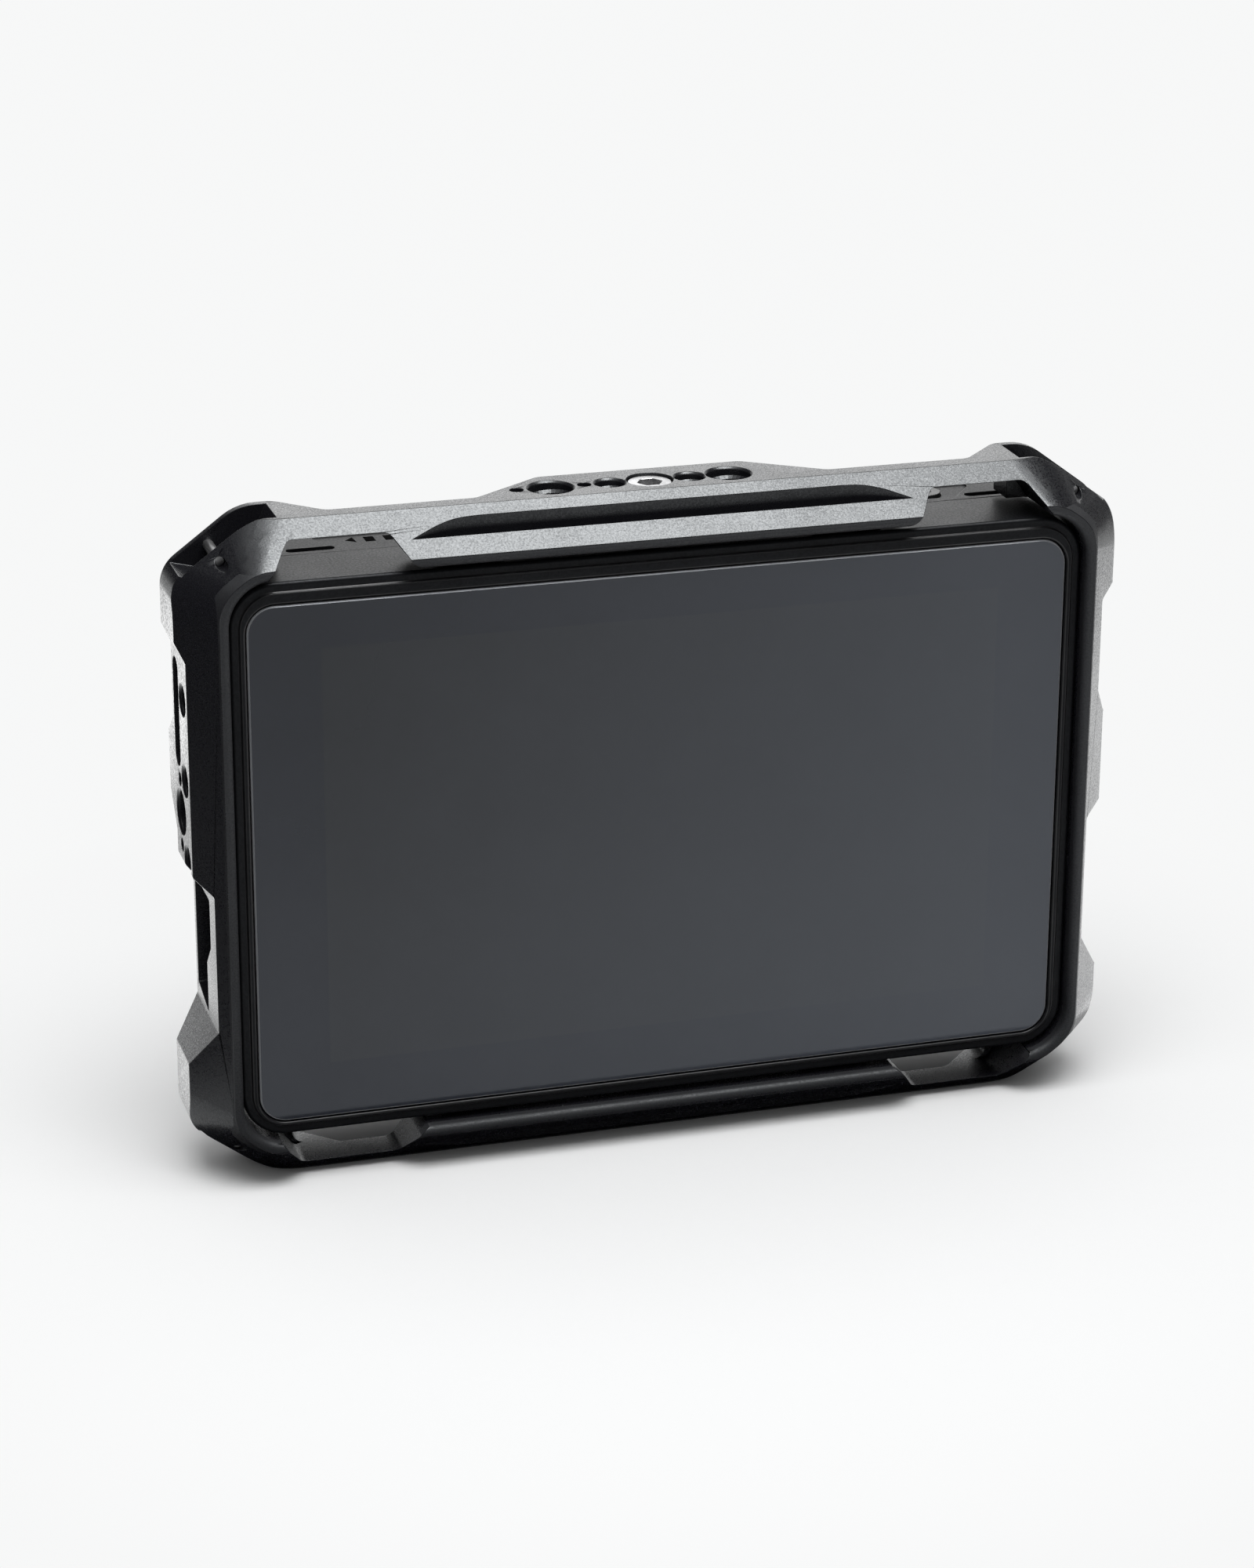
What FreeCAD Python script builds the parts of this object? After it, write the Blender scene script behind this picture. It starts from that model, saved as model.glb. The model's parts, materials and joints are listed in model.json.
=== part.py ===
import FreeCAD, Part
import math
import os
from FreeCAD import Vector

# Lengths are millimetres. X runs to the viewer's right, Y from the screen to the back, Z up.
# The origin is on the surface that the part stands on, under the middle of its box.
# Depths named BACK or PROUD count from the glass face; heights on the cage count from its middle.

# Screen
VIEW_W = 150.8
VIEW_H = 94.2
GLASS_SIDE = 15.6
GLASS_TOP = 10.0
GLASS_BOTTOM = 12.6
GLASS_T = 1.8
GLASS_R = 6.0
GLASS_BEVEL = 0.35
GLASS_GAP = 0.3
SEAL_T = 0.3
SEAL_W = 7.0
LCD_BORDER = 4.9
LCD_T = 2.2
LCD_GAP = 1.2
BACKLIGHT_T = 4.0
TRAY_T = 1.2
TRAY_GAP = 5.3

# Monitor housing
BEZEL_SIDE = 3.7
BEZEL_TOP = 4.9
BEZEL_BOTTOM = 3.3
MON_R = 9.7
WALL = 2.4
BEZEL_PROUD = 0.2
BEZEL_ROUND = 0.8
BEZEL_BREAK = 0.3
BAND_W = 2.0
BAND_DEEP = 0.5
LEDGE_T = 1.5
SEAM_BACK = 18.6
SEAM_GAP = 0.3
SHELL_BACK = 33.0
SHELL_ROUND = 3.0
BOSS_IN = 6.5
BOSS_R = 3.4
SHELL_SCREW_R = 1.5
SHELL_SCREW_HEAD_R = 2.7
SHELL_SCREW_HEAD_T = 2.0
TRAY_BOSS_IN = 10.2
TRAY_BOSS_DOWN = 15.0
TRAY_BOSS_R = 2.6
TRAY_SCREW_R = 1.0
TRAY_SCREW_HEAD_R = 2.1
TRAY_SCREW_HEAD_T = 1.0
SCREW_BITE = 3.0
SHELL_SCREW_BITE = 9.0
SHELL_SCREW_SUNK = 0.5

# Control panel and vents on the housing's top
PANEL_X = 4.0
PANEL_IN = 1.8
PANEL_R = 2.0
PANEL_FLARE = 5.5
PANEL_FRONT = 20.8
PANEL_CORNER = 28.0
PANEL_DEEP = 0.5
VENT_OUT = 5.8
VENT_L = 10.5
VENT_WIDE = 2.6
VENT_BACK = 21.5
GRILLE_SLOTS = 7
GRILLE_PITCH = 4.4
GRILLE_WIDE = 2.0

# Keys
KEY_WALL_GAP = 0.4
POWER_IN = 3.3
POWER_R = 3.5
FUNCTION_IN = (24.8, 37.8)
FUNCTION_R = 2.8
KEY_GAP = 0.2
KEY_PROUD = 0.3
KEY_FLANGE = 1.1
KEY_FLANGE_T = 1.0
KEY_TRAVEL = 0.6
KEY_REST_GAP = 0.3
STEM_R = 1.6
STEM_L = 2.2
PLUNGER_R = 1.5
PLUNGER_L = 1.7
PLUNGER_GAP = 0.2
SWITCH_SIZE = 6.0
SWITCH_UNDER = 0.6
SWITCH_FLOOR = 1.1
KEY_BOARD_T = 1.6
KEY_BOARD_EDGE = 5.0
KEY_BOARD_D = 7.4
KEY_BOSS_OUT = 15.0
KEY_BOSS_IN = 31.5
KEY_BOSS_R = 2.6

# Boards and cooling
STANDOFF_L = 1.0
STANDOFF_R = 2.6
BOARD_SIDE = 3.3
BOARD_TOP = 22.5
BOARD_BOTTOM = 18.5
BOARD_T = 1.6
BOARD_HOLE_IN = 5.0
BOARD_HOLE_CLEAR = 4.2
BOARD_SCREW_R = 1.2
BOARD_SCREW_HEAD_R = 2.2
BOARD_SCREW_HEAD_T = 1.3
FAN_X = 46.0
FAN_Z = -14.0
PROCESSOR_SIZE = 20.0
PROCESSOR_T = 1.4
MEMORY_W = 12.0
MEMORY_H = 9.0
MEMORY_T = 1.1
MEMORY_PITCH = 14.0
MEMORY_GAP = 16.0
SINK_SIZE = 44.0
SINK_BASE_T = 2.0
FIN_T = 1.2
FIN_COUNT = 9
SINK_FAN_GAP = 1.2
FAN_SIZE = 40.0
FAN_T = 7.0
FAN_WALL = 1.6
FAN_TIP_GAP = 0.8
FAN_HUB_R = 8.2
FAN_HUB_T = 5.1
FAN_HUB_WALL = 1.2
FAN_BLADES = 7
FAN_BLADE_T = 1.0
FAN_BLADE_TILT = 38.0
FAN_BACK_T = 1.2
FAN_RUN_GAP = 0.4
FAN_SHAFT_R = 1.0
FAN_SHAFT_GAP = 0.05
FAN_TUBE_R = 2.6
FAN_STRUT_W = 2.4
FAN_STRUTS = 4
FAN_HOLE_IN = 4.0
FAN_SCREW_R = 1.4
FAN_SCREW_HEAD_R = 2.6

# Sockets at the sides, each Z a share of the cage's height
SOCKET_T = 5.4
SOCKET_GAP = 0.3
SOCKET_SKIN = 0.5
VIDEO_W = 15.0
VIDEO_L = 12.0
VIDEO_TONGUE_W = 11.0
VIDEO_TONGUE_T = 1.2
VIDEO_IN_Z = -0.1179
VIDEO_OUT_Z = -0.1853
JACK_W = 6.4
JACK_L = 12.0
JACK_R = 1.8
HEADPHONE_Z = -0.2123
INLET_W = 8.4
INLET_R = 1.9
INLET_PIN_R = 0.6
INLET_Z = -0.0876

# Battery mount on the back
PLATE_W = 41.0
PLATE_H = 64.0
PLATE_T = 2.0
PLATE_R = 2.0
RAIL_W = 2.5
RAIL_H = 3.0
RAIL_LIP_W = 1.5
RAIL_LIP_T = 1.2
PLATE_SCREW_IN = 7.5
PLATE_SCREW_Z = 12.0
PLATE_SCREW_R = 1.25
PLATE_SCREW_HEAD_R = 2.5
LATCH_UP = 10.0
LATCH_W = 12.0
LATCH_H = 5.0
LATCH_PROUD = 1.8
LATCH_GAP = 0.3
LATCH_FLANGE = 2.0
LATCH_FLANGE_T = 1.2
POCKET_DEEP = 5.8
POCKET_WALL = 1.5
SPRING_R = 2.4
SPRING_WIRE_R = 0.3
SPRING_TURNS = 4
CONTACT_BLOCK_W = 22.0
CONTACT_BLOCK_H = 7.0
CONTACT_BLOCK_T = 2.2
CONTACT_DOWN = 7.0
CONTACT_PITCH = 6.0
CONTACT_R = 1.0
CONTACT_L = 1.2

# Cage
CAGE_SIDE = 10.2
CAGE_TOP = 10.5
SIDE_CLEAR = 0.3
TOP_CLEAR = 1.2
RIM_PROUD = 2.75
RIM_ROUND = 1.4
RIM_FLAT = 0.8
SLOPE_OUT = 8.0
SLOPE_DEEP = 9.0
RING_BACK = 10.6
BUMPER_BACK = 20.3
BUMPER_CUT_W = 16.7
BUMPER_CUT_H = 12.4
BUMPER_SIDE_R = 8.0
BUMPER_TOP_R = 12.0
BUMPER_L = 24.3
BUMPER_RAMP = 9.5
FACET_BACK = 8.4
TOP_BLEND = 1.26
SIDE_BLEND = 0.54
REACH_R = 4.0
TAB_FRONT_W = 78.4
TAB_BACK_W = 45.6
TAB_BACK = 22.2
STEP_R = 1.0

# Cage sides, each height a share of the cage's own height, counted from its middle
LEFT_PAD_IN = 1.9
LEFT_PAD_TOP = 0.3053
LEFT_PAD_LOW = -0.0162
LEFT_PAD_RISE = 0.0283
LEFT_PAD_FALL = 0.0222
LEFT_BAY_IN = 5.6
LEFT_BAY_LOW = -0.248
LEFT_BAY_RISE = 0.062
LEFT_TAB_TOP = 0.1927
LEFT_TAB_RISE = 0.0337
LEFT_TAB_LOW = 0.0701
LEFT_TAB_FALL = 0.0499
LEFT_TAB_BACK = 26.5
RIGHT_STEP_TOP = 0.2972
RIGHT_STEP_FALL = 0.0135
RIGHT_STEP_IN = 4.4
RIGHT_STEP_LOW = 0.1415
RIGHT_PAD_RISE = 0.0398
RIGHT_PAD_IN = 1.6
RIGHT_PAD_LOW = -0.0418
RIGHT_PAD_FALL = 0.0121
RIGHT_PAD_BACK = 24.5
RIGHT_BAY_IN = 7.0
RIGHT_BAY_LOW = -0.2487
RIGHT_BAY_RISE = 0.0687
BAY_BACK = 23.6

# Cage openings, those at the sides with heights that are shares of the cage's
NOTCH_IN = 34.4
NOTCH_W = 21.6
NOTCH_SLANT = 5.2
NOTCH_H = 7.0
NOTCH_TOP_R = 2.5
NOTCH_FOOT_R = 5.0
NOTCH_CLEAR = 0.2
NOTCH_PAST = 1.9
SLOT_OVER = 0.4
SLOT_TAPER = 9.0
SLOT_FRONT = 1.0
SLOT_BACK = 4.4
SLOT_R = 28.0
SLOT_FLOOR_T = 2.6
STRAP_FRONT = 8.0
STRAP_BACK_WALL = 1.8
STRAP_WALL = 2.8
STRAP_L = 23.2
STRAP_DROP = 10.4
PIN_IN = 10.2
PIN_DOWN = 7.9
PIN_R = 1.15
PIN_SUNK = 0.4
WINDOW_TOP = -0.058
WINDOW_STEP_TOP = -0.1314
WINDOW_STEP_LOW = -0.1651
WINDOW_LOW = -0.2446
WINDOW_POINT = 0.0189
WINDOW_UPPER_FRONT = 6.0
WINDOW_FRONT = 10.8
WINDOW_BACK = 21.8
LEFT_SLOT_TOP = 0.2911
LEFT_SLOT_LOW = 0.1274
LEFT_SLOT_FRONT = 13.3
LEFT_SLOT_BACK = 18.9
RIGHT_SLOT_TOP = 0.2662
RIGHT_SLOT_LOW = 0.1617
RIGHT_SLOT_FRONT = 12.5
RIGHT_SLOT_BACK = 17.8

# Threads and screws in the cage, those at the sides with heights that are shares of the cage's
SMALL_THREAD_R = 6.35 / 2
BIG_THREAD_R = 9.525 / 2
LOCATING_R = 1.5
LOCATING_DEEP = 5.0
LOCATING_PITCH = 14.9
MOUTH = 0.5
TAB_ROW_BACK = 13.7
TAB_BIG_X = (-22.0, 17.7)
TAB_SMALL_PITCH = 17.8
LEFT_SMALL_Z = 0.1186
LEFT_SMALL_PITCH = 0.122
LEFT_SMALL_BACK = 9.2
LEFT_BIG_Z = 0.0593
LEFT_BIG_BACK = 14.7
RIGHT_Z = 0.0303
RIGHT_SMALL_PITCH = 14.0
CAGE_SCREW_R = 3.1
CAGE_SCREW_HOLE_R = 3.4
CAGE_SCREW_HEAD_R = 4.75
CAGE_SCREW_HEAD_T = 5.5
CAGE_SCREW_L = 13.0
CAGE_SCREW_KEY = 4.8
CAGE_SCREW_KEY_DEEP = 3.0
COUNTERBORE_R = 5.1
COUNTERBORE_DEEP = 6.0
BUSH_R = 4.0
BUSH_L = 9.0
BUSH_WALL = 1.4
PAD_IN = 12.8
PAD_W = 14.0
PAD_FRONT = 3.0
PAD_D = 6.0
RIBBON_IN = 35.3
RIBBON_W = 30.0
RIBBON_T = 0.3
RIBBON_GAP = 0.05
RIBBON_LOOP = 2.3

# Places worked out from the sizes above
DEEPEST = SHELL_BACK + PLATE_T + RAIL_H
GLASS_Y = (RIM_PROUD - DEEPEST) / 2
GLASS_W = VIEW_W + 2 * GLASS_SIDE
GLASS_H = VIEW_H + GLASS_TOP + GLASS_BOTTOM
GLASS_DOWN = (BEZEL_TOP - BEZEL_BOTTOM) / 2
VIEW_UP = (GLASS_BOTTOM - GLASS_TOP) / 2 - GLASS_DOWN
MON_W = GLASS_W + 2 * BEZEL_SIDE
MON_H = GLASS_H + BEZEL_TOP + BEZEL_BOTTOM
INNER_W = MON_W + 2 * SIDE_CLEAR
INNER_H = MON_H + 2 * TOP_CLEAR
CAGE_W = INNER_W + 2 * CAGE_SIDE
CAGE_H = INNER_H + 2 * CAGE_TOP
MID_Z = CAGE_H / 2
INNER_R = MON_R + SIDE_CLEAR
RIM_W = RIM_ROUND + RIM_FLAT
CORNER_X = INNER_W / 2 - INNER_R
CORNER_Z = INNER_H / 2 - INNER_R
NOTCH_X = CAGE_W / 2 - NOTCH_IN
NOTCH_FOOT = NOTCH_X - NOTCH_W / 2 - NOTCH_SLANT
SLOT_FRONT_X = NOTCH_FOOT + SLOT_OVER
SLOT_BACK_X = SLOT_FRONT_X - SLOT_TAPER
PAD_X = NOTCH_FOOT - PAD_IN
PANEL_W = 2 * (NOTCH_X - PANEL_IN)
VENT_X = NOTCH_X + VENT_OUT
POWER_X = NOTCH_X - POWER_IN
FUNCTION_X = [x - NOTCH_X for x in FUNCTION_IN]
KEY_BOSS_X = (FUNCTION_X[1] + KEY_BOSS_OUT, POWER_X - KEY_BOSS_IN)
TRAY_BOSS_UP = MON_H / 2 - TRAY_BOSS_DOWN
FAN_BORE_R = FAN_SIZE / 2 - FAN_WALL
PLATE_SCREW_X = PLATE_W / 2 - PLATE_SCREW_IN
LATCH_Z = LATCH_UP - PLATE_H / 2
CONTACT_Z = PLATE_H / 2 - CONTACT_DOWN
LCD_W = VIEW_W + 2 * LCD_BORDER
LCD_H = VIEW_H + 2 * LCD_BORDER
RIBBON_X = RIBBON_IN - LCD_W / 2
BOARD_W = MON_W - 2 * (WALL + BOARD_SIDE)
BOARD_HIGH = MON_H / 2 - BOARD_TOP
BOARD_LOW = BOARD_BOTTOM - MON_H / 2
BOARD_H = BOARD_HIGH - BOARD_LOW
BOARD_DOWN = -(BOARD_HIGH + BOARD_LOW) / 2
LEDGE_FRONT = GLASS_T + SEAL_T
LEDGE_BACK = LEDGE_FRONT + LEDGE_T
LCD_BACK = GLASS_T + LCD_T
TRAY_FRONT = LCD_BACK + BACKLIGHT_T
TRAY_BACK = TRAY_FRONT + TRAY_T
BOARD_FRONT = TRAY_BACK + STANDOFF_L
BOARD_BACK = BOARD_FRONT + BOARD_T
SOCKET_BACK = BOARD_BACK + SOCKET_T
SHELL_FLOOR = SHELL_BACK - WALL
FAN_FRONT = SHELL_FLOOR - FAN_T
KEY_BACK = SHELL_FLOOR - POWER_R - KEY_FLANGE - KEY_WALL_GAP
PLATE_BACK = SHELL_BACK + PLATE_T
TOP_INSIDE = MON_H / 2 - WALL
FLANGE_TOP = TOP_INSIDE - KEY_REST_GAP
STEM_TOP = FLANGE_TOP - KEY_FLANGE_T
PLUNGER_TOP = STEM_TOP - STEM_L
PLUNGER_LOW = PLUNGER_TOP - PLUNGER_L
SWITCH_TOP = PLUNGER_TOP - SWITCH_UNDER
SWITCH_HOLE_LOW = PLUNGER_LOW - KEY_TRAVEL - PLUNGER_GAP
KEY_BOARD_TOP = SWITCH_HOLE_LOW - SWITCH_FLOOR
KEYS = [(POWER_X, POWER_R)] + [(x, FUNCTION_R) for x in FUNCTION_X]
KEY_NAMES = ["power", "function_1", "function_2"]
TINY = 1e-6

AXIS = {"front": Vector(0, 1, 0), "plan": Vector(0, 0, 1), "side": Vector(1, 0, 0)}


def depth(back):
    """Y of a depth behind the glass face."""
    return GLASS_Y + back


def level(up):
    """Z of a height above the middle of the cage."""
    return MID_Z + up


def drawn(face, u, v):
    """Point of a sketch: front is X and Z, plan is X and Y, side is Z and Y."""
    if face == "front":
        return Vector(u, 0, v)
    if face == "plan":
        return Vector(u, v, 0)
    return Vector(0, v, u)


def rounding(before, corner, after):
    """Start, middle and end of the arc that rounds a corner, or the corner alone."""
    u, v = corner[:2]
    radius = corner[2] if len(corner) > 2 else 0
    if not radius:
        return (u, v), None, (u, v)
    first = Vector(before[0] - u, before[1] - v, 0).normalize()
    second = Vector(after[0] - u, after[1] - v, 0).normalize()
    half = first.getAngle(second) / 2
    middle_way = (first + second).normalize()
    run = radius / math.tan(half)
    inset = radius / math.sin(half) - radius
    points = [first * run, middle_way * inset, second * run]
    return tuple((u + p.x, v + p.y) for p in points)


def outline(face, corners):
    """Closed wire through corners (u, v) or (u, v, radius)."""
    count = len(corners)
    turns = []
    for i, corner in enumerate(corners):
        turns.append(rounding(corners[i - 1], corner, corners[(i + 1) % count]))
    edges = []
    for i, (start, middle, end) in enumerate(turns):
        if middle:
            edges.append(Part.Arc(*(drawn(face, *p) for p in (start, middle, end))).toShape())
        a = drawn(face, *end)
        b = drawn(face, *turns[(i + 1) % count][0])
        if a.distanceToPoint(b) > TINY:
            edges.append(Part.makeLine(a, b))
    return Part.Wire(edges)


def prism(face, corners, low, high):
    """Sketch outline extruded square to its face, from low to high."""
    solid = Part.Face(outline(face, corners)).extrude(AXIS[face] * (high - low))
    solid.translate(AXIS[face] * low)
    return solid


def rectangle(w, h, r, up=0.0, across=0.0):
    """Corners of a rounded rectangle seen from the front."""
    sides = [(-1, -1), (1, -1), (1, 1), (-1, 1)]
    return [(across + i * w / 2, level(up) + j * h / 2, r) for i, j in sides]


def slab(w, h, r, front, back, up=0.0, across=0.0):
    """Rounded rectangle seen from the front, between two depths."""
    return prism("front", rectangle(w, h, r, up, across), depth(front), depth(back))


def block(x0, x1, front, back, low, high):
    """Box between two X, two depths and two heights."""
    corner = Vector(x0, depth(front), level(low))
    return Part.makeBox(x1 - x0, back - front, high - low, corner)


def rod_y(r, x, up, front, back):
    """Round bar along Y."""
    return Part.makeCylinder(r, back - front, Vector(x, depth(front), level(up)), AXIS["front"])


def rod_z(r, x, back, low, high):
    """Round bar along Z."""
    return Part.makeCylinder(r, high - low, Vector(x, depth(back), level(low)), AXIS["plan"])


def rod_x(r, back, up, x0, x1):
    """Round bar along X."""
    return Part.makeCylinder(r, x1 - x0, Vector(x0, depth(back), level(up)), AXIS["side"])


def joined(shapes):
    """One solid from overlapping shapes."""
    whole = shapes[0].multiFuse(shapes[1:]) if len(shapes) > 1 else shapes[0]
    return whole.removeSplitter()


def mirrored_x(shape):
    return shape.mirror(Vector(0, 0, 0), AXIS["side"])


def mirrored_z(shape):
    return shape.mirror(Vector(0, 0, MID_Z), AXIS["plan"])


def four_ways(shape):
    """A shape and its copies left to right, top to bottom and both."""
    right = [shape, mirrored_z(shape)]
    return right + [mirrored_x(s) for s in right]


def places(x, up):
    """Four (x, height) places, one in each quarter."""
    return [(i * x, j * up) for i in (1, -1) for j in (1, -1)]


def edges_at_depth(solid, back):
    """Edges of a solid that lie wholly at one depth."""
    y = depth(back)
    return [e for e in solid.Edges if all(abs(v.Point.y - y) < TINY for v in e.Vertexes)]


def mouth_edges(solid, back, w, h, up=0.0):
    """Edges of a solid at one depth, round an opening of a width and height."""
    return [
        e for e in edges_at_depth(solid, back)
        if all(abs(v.Point.x) < w / 2 + TINY for v in e.Vertexes)
        and all(abs(v.Point.z - level(up)) < h / 2 + TINY for v in e.Vertexes)
    ]


def beside(share):
    """Height above the middle of a place on the cage's sides, which stretch with the cage."""
    return share * CAGE_H


# Cage


def facet_way():
    """X and Z of the direction square to the right top corner's chamfer."""
    length = math.hypot(BUMPER_CUT_W, BUMPER_CUT_H)
    return BUMPER_CUT_H / length, BUMPER_CUT_W / length


def facet_start():
    """X and height where the flat that slopes the right top corner meets the rim."""
    nx, nz = facet_way()
    out = INNER_R + RIM_W
    return CORNER_X + nx * out, CORNER_Z + nz * out


def facet_rate():
    """How far that flat runs out per depth, to meet the chamfer."""
    nx, nz = facet_way()
    x, up = facet_start()
    width = (CAGE_W / 2 - x) * nx + (CAGE_H / 2 - BUMPER_CUT_H - up) * nz
    return width / (FACET_BACK + RIM_PROUD)


def facet_depth(x, up):
    """Depth of that flat at a place on the right top corner."""
    nx, nz = facet_way()
    start_x, start_up = facet_start()
    return ((x - start_x) * nx + (up - start_up) * nz) / facet_rate() - RIM_PROUD


def right_side():
    """Right half of the cage's outline, from the top down."""
    edge = CAGE_W / 2
    top = CAGE_H / 2
    step = edge - RIGHT_STEP_IN
    pad = edge - RIGHT_PAD_IN
    bay = edge - RIGHT_BAY_IN
    return [
        (edge - BUMPER_CUT_W, top, BUMPER_TOP_R),
        (edge, top - BUMPER_CUT_H, BUMPER_SIDE_R),
        (edge, beside(RIGHT_STEP_TOP), STEP_R),
        (step, beside(RIGHT_STEP_TOP - RIGHT_STEP_FALL), STEP_R),
        (step, beside(RIGHT_STEP_LOW), STEP_R),
        (pad, beside(RIGHT_STEP_LOW - RIGHT_PAD_RISE), STEP_R),
        (pad, beside(RIGHT_PAD_LOW), STEP_R),
        (bay, beside(RIGHT_PAD_LOW - RIGHT_PAD_FALL), STEP_R),
        (bay, beside(RIGHT_BAY_LOW), STEP_R),
        (edge, beside(RIGHT_BAY_LOW - RIGHT_BAY_RISE), STEP_R),
        (edge, BUMPER_CUT_H - top, BUMPER_SIDE_R),
        (edge - BUMPER_CUT_W, -top, BUMPER_TOP_R),
    ]


def left_side():
    """Left half of the cage's outline, from the bottom up."""
    edge = -CAGE_W / 2
    top = CAGE_H / 2
    pad = edge + LEFT_PAD_IN
    bay = edge + LEFT_BAY_IN
    return [
        (edge + BUMPER_CUT_W, -top, BUMPER_TOP_R),
        (edge, BUMPER_CUT_H - top, BUMPER_SIDE_R),
        (edge, beside(LEFT_BAY_LOW - LEFT_BAY_RISE), STEP_R),
        (bay, beside(LEFT_BAY_LOW), STEP_R),
        (bay, beside(LEFT_PAD_LOW - LEFT_PAD_FALL), STEP_R),
        (pad, beside(LEFT_PAD_LOW), STEP_R),
        (pad, beside(LEFT_PAD_TOP), STEP_R),
        (edge, beside(LEFT_PAD_TOP + LEFT_PAD_RISE), STEP_R),
        (edge, top - BUMPER_CUT_H, BUMPER_SIDE_R),
        (edge + BUMPER_CUT_W, top, BUMPER_TOP_R),
    ]


def slope_outline(run):
    """Outline of the sloped front face at a distance behind the rim."""
    nx, nz = facet_way()
    out = INNER_R + RIM_W + run * SLOPE_OUT / SLOPE_DEEP
    flat = INNER_R + RIM_W + run * facet_rate()
    top = (CORNER_X + (flat - nz * out) / nx, CORNER_Z + out, INNER_R + run * TOP_BLEND)
    side = (CORNER_X + out, CORNER_Z + (flat - nx * out) / nz, INNER_R + run * SIDE_BLEND)
    right = [top, side] + [(x, -up, r) for x, up, r in (side, top)]
    left = [(-x, up, r) for x, up, r in reversed(right)]
    wire = outline("front", [(x, level(up), r) for x, up, r in right + left])
    wire.translate(Vector(0, depth(run - RIM_PROUD), 0))
    return wire


def front_slope():
    """Space behind the sloped front face, which turns smoothly into a flat at each corner."""
    return Part.makeLoft([slope_outline(0), slope_outline(DEEPEST)], True, True)


def top_reach():
    """Space the cage's top takes up, seen from above: ring, corner bumpers and central tab."""
    edge = CAGE_W / 2
    right = [
        (edge + STEP_R, depth(BUMPER_BACK)),
        (edge - BUMPER_L, depth(BUMPER_BACK), REACH_R),
        (edge - BUMPER_L - BUMPER_RAMP, depth(RING_BACK), REACH_R),
        (TAB_FRONT_W / 2, depth(RING_BACK), REACH_R),
        (TAB_BACK_W / 2, depth(TAB_BACK), REACH_R),
    ]
    left = [(-c[0], *c[1:]) for c in reversed(right)]
    front = depth(-RIM_PROUD) - STEP_R
    corners = right + left + [(-edge - STEP_R, front), (edge + STEP_R, front)]
    return prism("plan", corners, level(CORNER_Z), CAGE_H + STEP_R)


def side_reach(backs, x0, x1):
    """Space one side of the cage takes up: (height, depth) along its rear edge, from the top."""
    front = depth(-RIM_PROUD) - STEP_R
    corners = [(level(beside(up)), depth(back), STEP_R) for up, back in backs]
    ends = [(CAGE_H + STEP_R, depth(BUMPER_BACK)), (-STEP_R, depth(BUMPER_BACK))]
    shape = [ends[0]] + corners + [ends[1], (-STEP_R, front), (CAGE_H + STEP_R, front)]
    return prism("side", shape, x0, x1)


def left_backs():
    return [
        (LEFT_TAB_TOP, BUMPER_BACK),
        (LEFT_TAB_TOP - LEFT_TAB_RISE, LEFT_TAB_BACK),
        (LEFT_TAB_LOW, LEFT_TAB_BACK),
        (LEFT_TAB_LOW - LEFT_TAB_FALL, BUMPER_BACK),
        (LEFT_PAD_LOW, BUMPER_BACK),
        (LEFT_PAD_LOW - LEFT_PAD_FALL, BAY_BACK),
        (LEFT_BAY_LOW, BAY_BACK),
        (LEFT_BAY_LOW - LEFT_BAY_RISE, BUMPER_BACK),
    ]


def right_backs():
    return [
        (RIGHT_STEP_LOW, BUMPER_BACK),
        (RIGHT_STEP_LOW - RIGHT_PAD_RISE, RIGHT_PAD_BACK),
        (RIGHT_PAD_LOW, RIGHT_PAD_BACK),
        (RIGHT_PAD_LOW - RIGHT_PAD_FALL, BAY_BACK),
        (RIGHT_BAY_LOW, BAY_BACK),
        (RIGHT_BAY_LOW - RIGHT_BAY_RISE, BUMPER_BACK),
    ]


def cage_blank():
    """Cage before its openings: outline, sloped front, rear edge and the opening for the monitor."""
    corners = [(c[0], level(c[1]), *c[2:]) for c in right_side() + left_side()]
    whole = prism("front", corners, depth(-RIM_PROUD), depth(DEEPEST))
    reach = joined([
        top_reach(),
        mirrored_z(top_reach()),
        side_reach(left_backs(), -CAGE_W, -CORNER_X),
        side_reach(right_backs(), CORNER_X, CAGE_W),
    ])
    blank = whole.common(front_slope()).common(reach)
    blank = blank.cut(slab(INNER_W, INNER_H, INNER_R, -2 * RIM_PROUD, 2 * DEEPEST))
    return blank.makeFillet(RIM_ROUND, mouth_edges(blank, -RIM_PROUD, INNER_W, INNER_H))


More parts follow.
